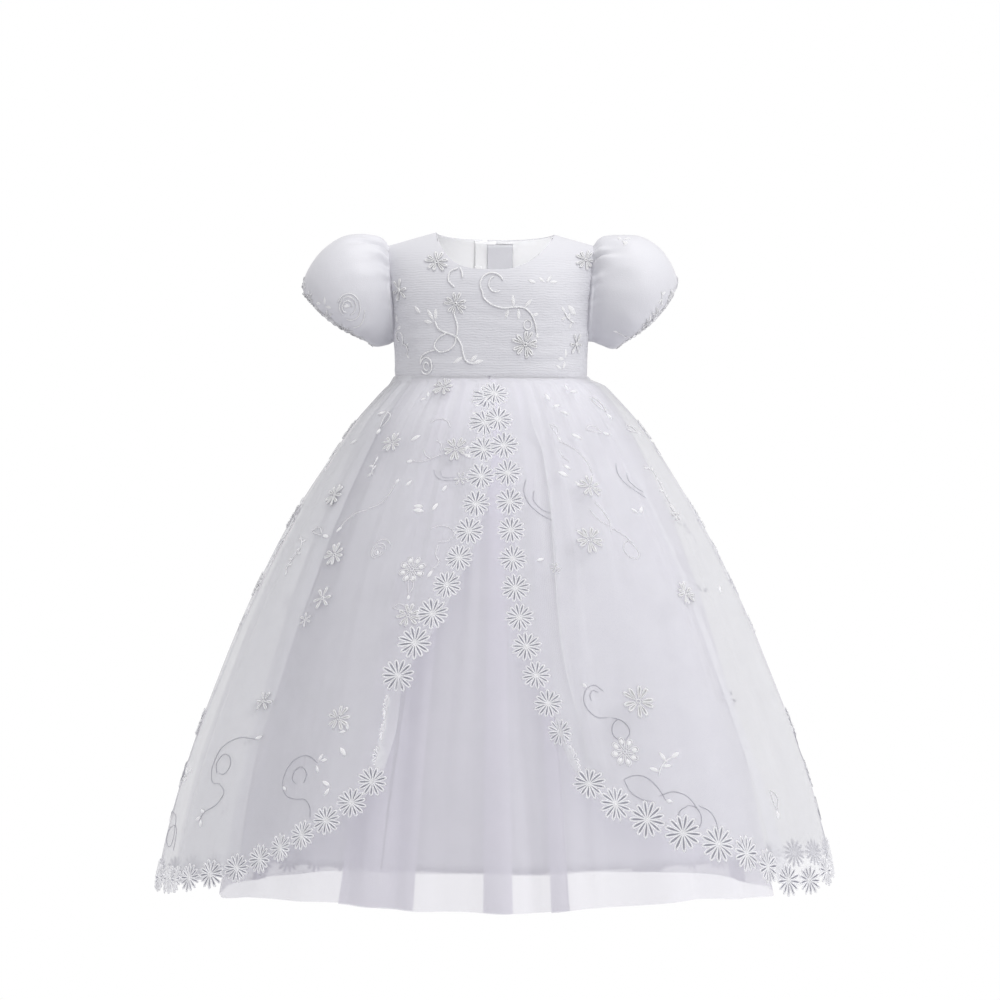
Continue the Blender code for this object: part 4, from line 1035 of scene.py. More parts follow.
def petal_loop(inner, outer, half_width, count):
    """A long loop from inner to outer along u, widest near its outer end."""
    turns = 2 * math.pi * np.arange(count) / count
    middle, half = (inner + outer) / 2, (outer - inner) / 2
    u = middle - half * np.cos(turns)
    share = (u - inner) / (outer - inner)
    v = half_width * np.sin(turns) * (0.35 + 0.85 * share)
    return np.stack([u, v], axis=-1)


def leaf_on(at, turn, length, width):
    return moved(satin_petal(length, width, 0.85), at, turn)


def sprig(cord):
    stem = [(0, 0), (1.5, 4), (4.2, 8.2), (8.0, 11.6), (12.5, 14.0)]
    return [
        thread(smooth_path(stem, 12), cord),
        leaf_on((1.2, 3.6), 160, 8.0, 3.0),
        leaf_on((3.8, 7.4), 5, 7.5, 2.8),
        leaf_on((7.6, 11.4), 118, 8.0, 3.0),
        leaf_on((12.2, 13.8), 30, 8.5, 3.2),
    ]


def smooth_path(points, count):
    """A path of even steps through a few points."""
    points = np.asarray(points, float)
    reach = lengths_along(points)
    dense = np.linspace(0, reach[-1], 6 * count)
    line = [cubic_through(dense, reach, column, np.gradient(column, reach)) for column in points.T]
    even = lengths_along(np.stack(line, axis=-1))
    steps = np.linspace(0, even[-1], count)
    return np.stack([np.interp(steps, even, column) for column in line], axis=-1)


def rings(cord):
    """Open curls one inside another."""
    return [
        thread(arc((0, 0), 12.5, -60, 210, 0.9, count=26), cord),
        thread(arc((-1.5, -0.5), 8.5, -20, 290, 1.0, count=22), cord),
        thread(arc((-2.0, -1.0), 4.8, 40, 330, 1.1, count=16), cord),
        thread(arc((4.0, -2.0), 16.0, -35, 70, 1.0, count=16), cord),
        leaf_on((-5.0, -4.0), 50, 7.5, 3.4),
    ]


def small_loop(cord):
    path = np.vstack([arc((0, 0), 7.5, -70, 215, 0.8, count=16), [(-10.5, -8.0), (-14.0, -13.0)]])
    return [thread(smooth_path(path, 26), cord), leaf_on((-13.6, -12.6), 235, 7.0, 2.8)]


def scroll(cord):
    """A stem that winds over into a curl, with a second bend below and leaves on its back."""
    upper = spiral((0, 10), 11.5, -95, 250, 0.42, 26)[::-1]
    lower = arc((2.0, -9.5), 8.5, 95, -75, 1.0, count=12)
    path = smooth_path(np.vstack([upper, lower]), 46)
    leaves = [leaf_on((9.8, -6.5), 15, 8.0, 3.0), leaf_on((4.6, -17.0), -60, 8.5, 3.2)]
    return [thread(path, cord), *leaves]


VINE_LEAVES = ((0.08, 150), (0.2, 20), (0.36, 200), (0.5, -20), (0.66, 160), (0.82, 10), (0.97, -80))


def vine(cord):
    """A long wavering stem with leaves on both sides."""

    def at(share):
        return 9 * np.sin(share * 5.2), -52 * share

    path = np.stack(at(np.linspace(0, 1, 30)), axis=-1)
    leaves = [leaf_on(at(share), turn, 7.5, 2.9) for share, turn in VINE_LEAVES]
    return [thread(smooth_path(path, 40), cord), *leaves]


# Winding stems: each line is a row of points.
STEMS = {
    "hook": [
        [(-9, 20), (-12, 9), (-9, -3), (-1, -13), (11, -21)],
        [(-2, 9), (-4, 0), (2, -9), (11, -14)],
    ],
    "long arc": [[(-16, 18), (-6, 13), (4, 4), (10, -8), (11, -18)], [(-18, 8), (-15, 0), (-10, -4)]],
    "crescent": [[(-8, 0), (-3, 4), (3, 3), (8, -2)], [(-8, 0), (0, -2), (8, -3)]],
    "trailing loop": [
        [(-12, 30), (-5, 21), (0, 10), (-2, -3)],
        [(-20, 22), (-15, 13), (-8, 7), (-1, 5)],
        [(0, 2), (9, -5), (17, -16), (20, -26), (16, -31), (8, -28), (5, -21), (8, -14), (15, -11)],
    ],
    "curl pair": [
        [(-9, 19), (-1, 23), (8, 21), (14, 14)],
        [(-7, -10), (-4, -16), (2, -20)],
        [(3, 0), (8, -4), (9, -12)],
        [(-16, -22), (-6, -23), (4, -19), (11, -15)],
    ],
    "open loop": [
        [(-13, 5), (-3, 8), (7, 5), (12, -1), (6, -8), (-3, -9)],
        [(-3, -12), (-4, -22), (0, -30), (-7, -39)],
    ],
    "long arcs": [[(25, 24), (21, 11), (11, 1), (2, -3)], [(3, -4), (-9, -8), (-19, -15), (-24, -25)]],
    "great spiral": [
        [(20, 12), (8, 19), (-8, 15), (-17, 3), (-18, -10), (-10, -21), (2, -24)],
        [(9, -8), (10, 2), (3, 8), (-5, 4), (-6, -5), (0, -9)],
        [(2, -24), (14, -24), (22, -31), (25, -42)],
    ],
    "tailed spiral": [
        [(33, 27), (10, 27), (-10, 14), (-13, -4), (-4, -17), (4, -17)],
        [(-3, -8), (-8, 2), (-2, 11), (7, 9), (11, 0), (6, -8), (-1, -7)],
        [(4, -17), (13, -25), (8, -36), (-8, -48), (-10, -55)],
    ],
    "figure eight": [
        [(1, 9), (-7, 15), (-16, 12), (-20, 2), (-17, -9), (-8, -16), (2, -16)],
        [(-4, 8), (-10, 10), (-14, 5), (-13, 0)],
        [(5, -16), (16, -20), (21, -29), (14, -38), (5, -34), (5, -24), (12, -17)],
    ],
    "border loop": [
        [(-40, 24), (-30, 27), (-17, 26), (-6, 16), (0, 4)],
        [(-40, 24), (-34, 12), (-25, 6), (-12, 3)],
        [(-6, 8), (8, 12), (20, 8), (30, -7)],
        [(20, -1), (11, -6), (9, -15), (17, -23), (27, -21), (31, -11), (26, -2), (20, -1)],
        [(30, -1), (42, -8), (46, -18), (46, -26)],
    ],
}
# These stems are drawn grey, as painted shade.
DARK_STEMS = ("hook", "great spiral", "tailed spiral", "figure eight", "border loop")
STEM_LEAVES = {
    "long arc": [((-17, -8), -35, 8.0), ((-9, -26), -60, 7.0)],
    "crescent": [((9, -3), -20, 6.0)],
    "curl pair": [((-14, -22), 190, 6.0)],
    "open loop": [((-5, -38), 245, 9.0)],
    "long arcs": [((-22, -22), 232, 8.0), ((25, 24), 70, 6.0)],
    "great spiral": [
        ((20, 14), 60, 9.0), ((19, 10), -60, 8.0), ((24, 15), 10, 8.0), ((-17, -12), -40, 6.0),
    ],
    "tailed spiral": [
        ((-9, -50), 200, 9.0), ((-9, -52), -70, 8.0), ((32, 27), 25, 7.0), ((-6, -46), 150, 7.0),
    ],
    "figure eight": [((-16, 13), 130, 5.0)],
    "border loop": [((0, 4), -10, 6.0)],
}


def stems(kind, cord):
    """Thin stems with a few leaves. Some are marked 2 and drawn in a grey, painted shade that stands for
    the shadow along thin white cords.
    """
    mark = 2 if kind in DARK_STEMS else 0
    shapes = []
    for line in STEMS[kind]:
        count = max(8, round(lengths_along(np.array(line, float))[-1] / 2.2))
        shapes.append((*thread(smooth_path(line, count), cord * (0.50 if mark else 0.66)), mark))
    return shapes + [leaf_on(at, turn, length, 3.2) for at, turn, length in STEM_LEAVES.get(kind, ())]


# ---- where the embroidery lies
Motif = namedtuple("Motif", "kind across down turn size", defaults=(0, 1.0))
FRONT_MOTIFS = table(
    Motif,
    ("bloom", -28, 10, 10, 0.95), ("wide bloom", -14.2, 68, 0, 0.92),
    ("leaves", -11.4, 72, 300, 0.9), ("bud", -11.2, 96, 0, 0.8), ("bloom", -40.5, 62, 25, 0.85),
    ("bloom", -56.5, 111, 5, 0.95), ("bloom", -45.4, 166, 40, 0.95), ("bud", -44.5, 206, 15, 1.25),
    ("bud", -48, 226, 40, 0.8), ("open bloom", -20.8, 179, 8, 0.95),
    ("bloom", -19.7, 221, 30, 0.95), ("bloom", -30.7, 314, 12), ("bud", -52.4, 301, 0, 1.1),
    ("bloom", 29.7, 103, 20, 0.95), ("wide bloom", 25, 152), ("bloom", 50, 202, 33, 0.95),
    ("wide bloom", 29.1, 299, 8, 1.15), ("open bloom", 24.6, 344),
    ("curl pair", -23.2, 60, 0, 0.95), ("hook", -16.5, 92, 40, 0.6),
    ("open loop", -14.2, 146, 0, 0.95), ("long arcs", -40, 121, 0, 0.95),
    ("tailed spiral", -59, 361), ("great spiral", -38.1, 366, 0, 0.95),
    ("figure eight", 21.6, 298, 0, 0.98), ("border loop", 31.1, 392), ("sprig", 30.5, 366, 0, 1.2),
    ("leaves", -28.4, 325, 70, 0.8), ("leaf", -28.4, 344, 130, 1.1), ("leaves", -29.7, 375, 120),
    ("sprig", -42.4, 92, 60, 0.75), ("leaf", -31, 58, 35, 1.1), ("leaf", -28, 100, 50, 0.8),
    ("leaf", -22.7, 125, -8, 1.3), ("leaf", -23, 121, -4, 1.1), ("leaf", -17.6, 122, 60),
    ("leaf", -15.8, 105, 60, 0.8), ("leaf", -57.3, 34, 20), ("leaf", -65, 61, 25),
    ("crescent", -56, 145, 0, 1.1), ("crescent", -51, 40, -70, 1.1), ("rings", -31.1, 162, 60, 0.6),
    ("crescent", -20.5, 194, -70, 0.9), ("crescent", -22, 214, 0, 0.9), ("vine", -64, 150, 15, 0.7),
    ("leaves", -34, 20, 80, 0.8), ("leaf", 24.6, 20, 100, 0.95), ("leaf", 29.4, 34, -30, 0.9),
    ("leaf", 27, 28, 20, 0.8), ("leaf", 30.8, 56, -28, 1.1), ("crescent", 39.9, 50),
    ("crescent", 22.5, 50, -60, 0.8), ("crescent", 64.3, 49, 0, 1.1), ("leaves", 38, 14, -30, 0.85),
    ("crescent", 52, 26, -60, 1.2), ("leaf", 21.3, 91, -25, 1.2), ("long arc", 28.4, 76, 0, 0.95),
    ("hook", 12, 115), ("trailing loop", 32.9, 143, 0, 0.95), ("hook", 46.5, 97, 0, 0.9),
    ("leaves", 44, 128, 20, 0.9), ("vine", 58, 84, 24, 0.8), ("bud", 62, 128),
    ("leaf", 10.8, 170, 15, 0.8), ("bud", 14.5, 178, 0, 0.6), ("leaf", 66.8, 199, 60, 0.9),
    ("crescent", 60.1, 392, -70, 1.2),
)
# Groups that go on round the sides and back: the same flowers, in another order each time.
UPPER_GROUP = table(
    Motif,
    ("bloom", 0, 40, 10, 0.95), ("scroll", 9, 66, 30, 0.95), ("leaf", -8, 62, 40),
    ("sprig", 5, 104, 160, 0.95), ("wide bloom", -5, 122, 20, 0.95), ("vine", 11, 124, 12, 0.9),
    ("loop", -11, 150, 60), ("open bloom", 4, 186, 0, 0.95), ("leaves", 10, 214, -30),
    ("bud", -8, 224, 0, 1.1),
)
LOWER_GROUPS = [
    table(
        Motif,
        ("wide bloom", 2, 316, 8, 1.05), ("figure eight", -3, 338), ("open bloom", 0, 366),
        ("border loop", 4, 412, 0, 0.95), ("sprig", 9, 378, 0, 1.1),
    ),
    table(
        Motif,
        ("bloom", 5, 318, 12), ("great spiral", 0, 376, 0, 0.95), ("leaves", 8, 350, 60, 0.9),
        ("bud", -8, 330, 0, 1.1), ("leaf", 7, 366, -40), ("crescent", -7, 420, 20, 1.1),
    ),
]
Group = namedtuple("Group", "angle spread")
GROUPS = table(
    Group,
    (88, 0.35), (127, 0.9), (149, 1), (168, 1), (-88, 0.35), (-127, 0.9), (-149, 1), (-170, 1),
)
BODICE_MOTIFS = table(
    Motif,
    ("bloom", -30, -31, 15, 1.02), ("bloom", 61, -28, 0, 1.02), ("bloom", -20, -71, 20, 0.92),
    ("neck curl", -19.5, -47), ("wide bloom", 20.5, -109, 20, 0.96), ("bud", -61, -57, 10, 1.3),
    ("collar scroll", 0, -54), ("waist scroll", -27, -106), ("leaves", 31, -51, 20, 0.9),
    ("leaf", 23, -50, 165, 0.9), ("leaf", 36, -50, 5, 0.9), ("sprig", 56, -88, 95, 0.85),
    ("leaf", 52, -76, -40, 1.6), ("leaf", -68, -92, 200, 0.9), ("bud", 61, -108, 0, 1.2),
    ("leaves", 50, -122, 60, 0.9), ("scroll", -68, -108, 20, 0.7), ("leaf", -70, -84, 70, 0.9),
    ("leaves", 47, -132, 30, 0.8),
)
BACK_MOTIFS = table(
    Motif,
    ("bloom", 30, -36, 10, 0.98), ("bloom", -34, -44, 0, 0.98), ("open bloom", 38, -96, 0, 0.92),
    ("bloom", -26, -104, 20, 0.98), ("scroll", 24, -68, 30, 0.95), ("scroll", -46, -74, 200, 0.95),
    ("sprig", 52, -60, 100, 0.9), ("sprig", -58, -110, 60, 0.9), ("leaves", 18, -116, 40, 0.95),
    ("leaf", -20, -62, 30, 0.95), ("loop", 60, -108, 40, 0.9),
)
SLEEVE_MOTIFS = {
    -1: table(
        Motif,
        ("rings", 100, 4.2), ("leaves", 76, 5.6, 0, 0.8), ("bud", 84, 6.35, 0, 0.75),
        ("leaf", 64, 6, 40, 0.8), ("bud", 118, 6.3, 0, 0.75), ("leaf", 106, 6.3, 120, 0.8),
        ("loop", 140, 5.9, 0, 0.6), ("bud", 45, 6.3, 0, 0.7), ("leaves", 20, 6.2, 0, 0.75),
        ("leaf", 130, 6.3, 10, 0.8), ("bud", 0, 5.9, 0, 0.75),
    ),
    1: table(
        Motif,
        ("leaves", 28, 2.2, 0, 0.9), ("leaf", 22, 2, 20, 0.9), ("leaf", 34, 2.4, -20, 0.9),
        ("sprig", 64, 5.2, 0, 0.8), ("bud", 84, 6.2, 0, 0.85), ("bud", 102, 6.25, 0, 0.8),
        ("leaf", 93, 5.9, 60, 0.9), ("leaves", 118, 6.1, 10, 0.8), ("loop", 138, 5.8, 40, 0.6),
        ("bud", 50, 6.2, 0, 0.75), ("leaves", 26, 6.2, 0, 0.8), ("bud", 4, 6, 0, 0.75),
    ),
}
SLEEVE_BACK_TURNS = (200, 232, 264, 296, 328)
GROUP_STEP = 9  # how far one group lies above the next
LAST_MOTIF_ANGLE = 176


def collar_scroll(cord):
    """The long stem below the neckline: a curl at one end, leaves along it, a drooping end."""
    curl = arc((1.0, 0.8), 11.0, 20, 215, 1.02, count=14)
    stem = [
        (-7.2, -10.5), (-2.5, -15.8), (4.5, -19.6), (13.0, -21.3), (22.5, -20.4), (32.0, -21.0),
        (39.5, -26.0), (44.5, -35.0), (47.4, -45.0),
    ]
    path = smooth_path(np.vstack([curl, stem]), 62)
    shapes = [thread(path, cord), thread(arc((4.6, 1.4), 6.6, -55, -255, 1.12, count=16), cord * 0.9)]
    shapes.append(thread(arc((37.0, -37.0), 4.2, 0, 330, 1.1, count=12), cord * 0.8, closed=True))
    leaves = (
        ((22.0, -19.5), 97, 11.0), ((16.8, -22.0), -104, 9.5), ((26.6, -22.0), -84, 10.5),
        ((33.5, -20.0), 48, 9.5), ((41.5, -28.0), 12, 7.0), ((47.0, -44.0), -70, 6.5),
    )
    return shapes + [leaf_on(at, turn, length, 3.4) for at, turn, length in leaves]


def waist_scroll(cord):
    """A stem that loops once near the waist, with a leafy fork at each end."""
    stem = [
        (-9.6, 19.0), (-6.4, 11.2), (0.8, 7.8), (9.6, 4.0),
        (14.6, -5.0), (16.0, -13.4), (19.0, -19.4), (25.0, -21.4),
    ]
    loop = [(9.6, 4.0), (7.8, -3.6), (0.4, -9.0), (-8.2, -9.4), (-11.8, -4.2), (-7.4, 3.0), (0.8, 7.6)]
    rise = [(8.6, 26.0), (11.2, 14.0), (10.2, 4.5)]
    tail = [(-10.6, -8.0), (-20.5, -10.4), (-27.2, -14.8), (-28.0, -22.0)]
    lines = ((stem, 40), (loop, 30), (rise, 14), (tail, 16))
    shapes = [thread(smooth_path(path, count), cord) for path, count in lines]
    shapes.append(thread(arc((-21.4, -23.0), 6.6, -150, 170, 1.2, count=20), cord * 0.95))
    shapes.append(thread(arc((-21.0, -23.5), 3.0, 0, 300, 1.3, count=10), cord * 0.85))
    leaves = (
        ((-11.4, 19.8), 118, 12.0), ((-9.4, 20.0), 84, 11.0), ((-12.4, 17.6), 170, 9.5),
        ((-25.0, 26.0), 128, 9.5), ((15.4, -14.8), -146, 11.0), ((24.0, -21.2), 18, 10.0),
        ((22.0, -19.6), 48, 9.0),
    )
    return shapes + [leaf_on(at, turn, length, 3.6) for at, turn, length in leaves]


def neck_curl(cord):
    """Two short stems that rise to the neckline from a flower."""
    return [
        thread(smooth_path([(-1, -9), (-6.5, -2), (-4.5, 6.5), (3.0, 10.0)], 18), cord),
        thread(smooth_path([(5.0, 10.5), (6.6, 5.0), (6.8, 0.0)], 10), cord),
    ]


MAKERS = {
    "bloom": lambda cord: bloom(9, 12.0, cord),
    "wide bloom": lambda cord: bloom(10, 13.4, cord),
    "open bloom": lambda cord: open_bloom(8, 13.4, cord),
    "bud": lambda cord: bloom(6, 8.6, cord),
    "leaf": lambda cord: [leaf_on((-4, 0), 0, 9.0, 3.6)],
    "leaves": lambda cord: [leaf_on((-1, 1), 120, 8.5, 3.2), leaf_on((1, 0), 35, 9.5, 3.4)],
    "rings": rings,
    "sprig": sprig,
    "loop": small_loop,
    "scroll": scroll,
    "vine": vine,
    "collar scroll": collar_scroll,
    "waist scroll": waist_scroll,
    "neck curl": neck_curl,
}


def embroider(surface, up, motifs, cord, lift):
    """Lays each motif's flat stitched shapes on a surface, following its curves, in one heap."""
    flats, owners = [], []
    for number, motif in enumerate(motifs):
        kind = motif.kind
        shapes = stems(kind, cord) if kind in STEMS else MAKERS[kind](cord)
        flats += [moved(shape, turn=motif.turn, size=motif.size) for shape in shapes]
        owners += [number] * len(shapes)
    owner = np.repeat(owners, [len(shape[0]) for shape in flats])
    flat = np.vstack([shape[0] for shape in flats])
    across, down = np.array([(m.across, m.down) for m in motifs], float).T
    nudge = 0.05  # degrees across, and mm down or rings along
    run = surface(across + nudge, down) - surface(across - nudge, down)
    rise = surface(across, down + nudge) - surface(across, down - nudge)
    per_across = np.linalg.norm(run, axis=-1)[owner] / (2 * nudge)
    per_down = np.linalg.norm(rise, axis=-1)[owner] / (2 * nudge)
    a = across[owner] + flat[:, 0] / per_across
    b = down[owner] + up * flat[:, 1] / per_down
    reach = 0.6  # how far to each side the cloth's tilt is taken, in mm
    small_a, small_b = reach / per_across, reach / per_down
    run = surface(a + small_a, b) - surface(a - small_a, b)
    rise = (surface(a, b + small_b) - surface(a, b - small_b)) * up
    placed = surface(a, b) + unit(np.cross(run, rise)) * (flat[:, 2] + lift)[:, None]
    heap = Heap()
    for points, *rest in flats:
        heap.add(placed[heap.count : heap.count + len(points)], *rest)
    return heap


# ---- daisy lace
DAISY_PITCH = 28.2
DAISY_LIFT = 1.4
DAISY_OVERLAP_LIFT = 2.6
OVERLAP_ENDS_AT = 112.0
OVERLAP_FADE = 34.0
TRIM_START = {-1: 32.0, 1: 30.0}
# Along each front edge and hem: how large the daisies are, how far in from the edge, and how far
# they are turned about it where the edge curls under.
TrimPoint = namedtuple("TrimPoint", "reach size inset turned")
TRIM = {
    -1: table(
        TrimPoint,
        (0, 1, 4, 0), (60, 1, 8, 0), (225, 1, 8, 0), (265, 1.16, 8, 0), (325, 1.14, 8, 8),
        (345, 1, 9, 56), (355, 0.84, 9, 66), (398, 0.84, 8, 66), (412, 0.95, 4, 52),
        (432, 1, 2.5, 0), (1600, 0.95, 2.5, 0),
    ),
    1: table(
        TrimPoint,
        (0, 1, -2, 0), (60, 1, -3, 0), (330, 1, -2.5, 0), (362, 1, 0, 18), (385, 0.95, 2, 66),
        (405, 1, 2, 40), (425, 1.1, 2.5, 0), (445, 1.14, 2.5, 0), (500, 1.26, 2.5, 0),
        (640, 1.25, 2.5, 0), (700, 1.05, 2.5, 0), (1600, 0.97, 2.5, 0),
    ),
}


def daisy_shape(radius, petals, cord):
    """One lace daisy: long corded petals with a slit in each, whose flat grey web is painted shade, and a
    small knot.
    """
    heap = Heap()
    for k in range(petals):
        reach = radius * (1.0, 0.94, 0.98)[k % 3] - cord
        turn = 360.0 * (k + 0.5) / petals
        for shape in corded_petal(radius * 0.08, reach, radius * 0.100, cord * 0.92, turn, 12):
            heap.add(*shape)
    heap.add(*thread(arc((0, 0), radius * 0.05, 0, 300, count=5), cord * 0.9, 4, closed=True))
    return np.vstack(heap.points), heap.faces, heap.marks


def trim_stations(side):
    """Where each daisy of one side sits: a row of the trim table with its place and its travel."""
    edge = over_surface(side, np.zeros(300), np.linspace(0, 1, 300))
    hem = over_surface(side, np.linspace(0, 1, 700), np.ones(700))
    route = np.vstack([edge, hem[1:]])
    reach = lengths_along(route)
    known, sizes, insets, turns = zip(*TRIM[side])
    size = np.interp(reach, known, sizes)
    spent = np.concatenate([[0.0], np.cumsum(np.diff(reach) / size[1:])])  # in daisies of size 1
    free = spent[-1] - TRIM_START[side] - DAISY_PITCH / 2
    count = int(free / DAISY_PITCH + 0.5) + 1
    stations = []
    for middle in np.interp(TRIM_START[side] + free * np.arange(count) / (count - 1), spent, reach):
        columns = (np.interp(middle, known, column) for column in (sizes, insets, turns))
        row = TrimPoint(middle, *columns)
        near = DAISY_PITCH * 0.45 * row.size
        ahead, behind = (
            np.array([np.interp(middle + step, reach, column) for column in route.T])
            for step in (near, -near)
        )
        stations.append((row, (ahead + behind) / 2, unit(ahead - behind)))
    return stations


def lace_guide(side):
    """The overskirt's surface, run on past its edges, for lace to lie on."""
    share = np.concatenate([np.linspace(-0.07, 0, 9)[:-1], np.linspace(0, 1, 230)])
    grown = np.concatenate([np.linspace(0, 1, 90), np.linspace(1, 1.07, 8)[1:]])
    grid = over_surface(side, share[None, :], grown[:, None])
    return BVHTree.FromPolygons(grid.reshape(-1, 3).tolist(), grid_faces(*grid.shape[:2]))


def laid_on(guide, points, lifts):
    placed = np.empty((len(points), 3))
    for i, (point, lift) in enumerate(zip(points, lifts)):
        foot, normal, _, _ = guide.find_nearest(Vector(point))
        if normal.x * foot.x + normal.y * foot.y < 0:
            normal = -normal
        placed[i] = foot + normal * lift
    return placed


# ---- finishes
WAVE_PERIOD = 0.314  # of a wave pattern whose scale is 1, in metres


def node(tree, kind, inputs=None, **settings):
    """Adds a node, with its settings and with its sockets set or linked."""
    made = tree.nodes.new("ShaderNode" + kind)
    for name, value in settings.items():
        setattr(made, name, value)
    for key, value in (inputs or {}).items():
        if isinstance(value, bpy.types.NodeSocket):
            tree.links.new(value, made.inputs[key])
        else:
            made.inputs[key].default_value = value
    return made


# Each maker of a material below returns the node that raises its weave.
def cloth_finish(name, colour, spread, scale, roughness, sheen, sheen_roughness=0.4):
    """A cloth's material: its nodes, and where its patterns are read.

    The base colour wanders by a spread over the cloth, as soft handling leaves it.
    """
    material = bpy.data.materials.new(name)
    material.use_nodes = True
    tree = material.node_tree
    shader = tree.nodes["Principled BSDF"]
    shader.inputs["Roughness"].default_value = roughness
    shader.inputs["Sheen Weight"].default_value = sheen
    shader.inputs["Sheen Roughness"].default_value = sheen_roughness
    shader.inputs["IOR"].default_value = 1.5
    place = node(tree, "TexCoord").outputs
    cloud = node(tree, "TexNoise", {"Vector": place["Object"], "Scale": scale, "Detail": 3.0})
    shade = [c * (1 - spread) for c in colour]
    ends = {"A": (*shade, 1.0), "B": (*colour, 1.0)}
    tone = node(tree, "Mix", {"Factor": cloud.outputs["Fac"], **ends}, data_type="RGBA")
    tree.links.new(tone.outputs["Result"], shader.inputs["Base Color"])
    return tree, place


def ribbed_crepe(sizes, colours):
    """Polyester crepe, woven with hard-twisted crosswise threads that shrink into crinkled ribs.

    To the eye: fine broken lines across the bodice, matt, with a faint silkiness on its turns.
    """
    tree, place = cloth_finish(
        "polyester_crepe", colours.crepe, spread=0.05, scale=22.0, roughness=0.62, sheen=0.25
    )
    # The ribs are one rib spacing apart.
    ribs = node(
        tree,
        "TexWave",
        {
            "Vector": place["Object"],
            "Scale": WAVE_PERIOD / sizes.rib,
            "Distortion": 6.0,
            "Detail": 3.0,
            "Detail Scale": 0.7,
            "Detail Roughness": 0.65,
        },
        wave_type="BANDS",
        bands_direction="Z",
        wave_profile="SIN",
    )
    # Crinkles break the ribs every few millimetres along their run.
    squeeze = node(tree, "Mapping", {"Vector": place["Object"], "Scale": (120, 120, 1.3 / sizes.rib)})
    crinkle = node(tree, "TexNoise", {"Vector": squeeze.outputs["Vector"], "Scale": 1.0, "Detail": 3.0})
    both = {0: ribs.outputs["Fac"], 1: crinkle.outputs["Fac"]}
    height = node(tree, "Math", both, operation="MULTIPLY")
    total = node(tree, "Math", {0: height.outputs["Value"], 1: crinkle.outputs["Fac"]}, operation="ADD")
    # The cloth is stretched smooth over the shoulders.
    level = node(tree, "SeparateXYZ", {"Vector": place["Object"]})
    stretch = {"From Min": -0.075, "From Max": -0.02, "To Min": 1.0, "To Max": 0.3}
    loose = node(tree, "MapRange", {"Value": level.outputs["Z"], **stretch})
    both = {0: total.outputs["Value"], 1: loose.outputs["Result"]}
    slack = node(tree, "Math", both, operation="MULTIPLY")
    return node(tree, "Bump", {"Height": slack.outputs["Value"], "Strength": 0.45, "Distance": 0.0007})


def organza_finish(colours):
    """Organza of fine twisted polyester over a soft lining, plain woven and crisp.

    To the eye: smooth and pale with a silky light on its turns and hardly any weave.
    """
    tree, place = cloth_finish(
        "polyester_organza",
        colours.organza,
        spread=0.04,
        scale=30.0,
        roughness=0.5,
        sheen=0.5,
        sheen_roughness=0.3,
    )
    # Real threads are 0.1 mm apart and can't show; these are drawn 0.9 mm apart.
    weave = node(tree, "TexNoise", {"Vector": place["Object"], "Scale": 1100.0, "Detail": 1.0})
    soft = node(tree, "TexNoise", {"Vector": place["Object"], "Scale": 90.0, "Detail": 3.0})
    total = node(tree, "Math", {0: weave.outputs["Fac"], 1: soft.outputs["Fac"]}, operation="ADD")
    return node(tree, "Bump", {"Height": total.outputs["Value"], "Strength": 0.22, "Distance": 0.0008})


def net_finish(name, colour, sizes, low, high, gathered):
    """Knitted nylon net: threads round small six-sided holes, which show what is behind.

    To the eye: a sheer even veil, denser where it is gathered into the waist and where it doubles
    back. The real holes are under 1 mm wide, so the cells are drawn wider, and faint.
    """
    tree, place = cloth_finish(name, colour, spread=0.03, scale=14.0, roughness=0.75, sheen=0.3)
    cells = node(
        tree,
        "TexVoronoi",
        {"Vector": place["UV"], "Scale": 1.0 / sizes.net_cell, "Randomness": 0.8},
        voronoi_dimensions="2D",
        feature="DISTANCE_TO_EDGE",
    )
    cloud = node(tree, "TexNoise", {"Vector": place["Object"], "Scale": 24.0, "Detail": 2.0})
    share = node(
        tree,
        "MapRange",
        {"Value": cells.outputs["Distance"], "From Max": 0.34, "To Min": high, "To Max": low},
        interpolation_type="SMOOTHSTEP",
    )
    wander = {"From Min": 0.3, "From Max": 0.7, "To Min": -0.02, "To Max": 0.02}
    patch = node(tree, "MapRange", {"Value": cloud.outputs["Fac"], **wander})
    thin = node(tree, "Math", {0: share.outputs["Result"], 1: patch.outputs["Result"]}, operation="ADD")
    # More cloth lies over each place near the waist: v runs down from it in metres.
    level = node(tree, "SeparateXYZ", {"Vector": place["UV"]})
    extra = node(
        tree,
        "MapRange",
        {"Value": level.outputs["Y"], "From Max": 0.30, "To Min": gathered, "To Max": 0.0},
    )
    open_share = node(tree, "Math", {0: 1.0, 1: thin.outputs["Value"]}, operation="SUBTRACT")
    open_extra = node(tree, "Math", {0: 1.0, 1: extra.outputs["Result"]}, operation="SUBTRACT")
    shares = {0: open_share.outputs["Value"], 1: open_extra.outputs["Value"]}
    both = node(tree, "Math", shares, operation="MULTIPLY")
    alpha = node(tree, "Math", {0: 1.0, 1: both.outputs["Value"]}, operation="SUBTRACT", use_clamp=True)
    tree.links.new(alpha.outputs["Value"], tree.nodes["Principled BSDF"].inputs["Alpha"])
    edges = cells.outputs["Distance"]
    return node(tree, "Bump", {"Height": edges, "Strength": 0.1, "Distance": 0.0003})


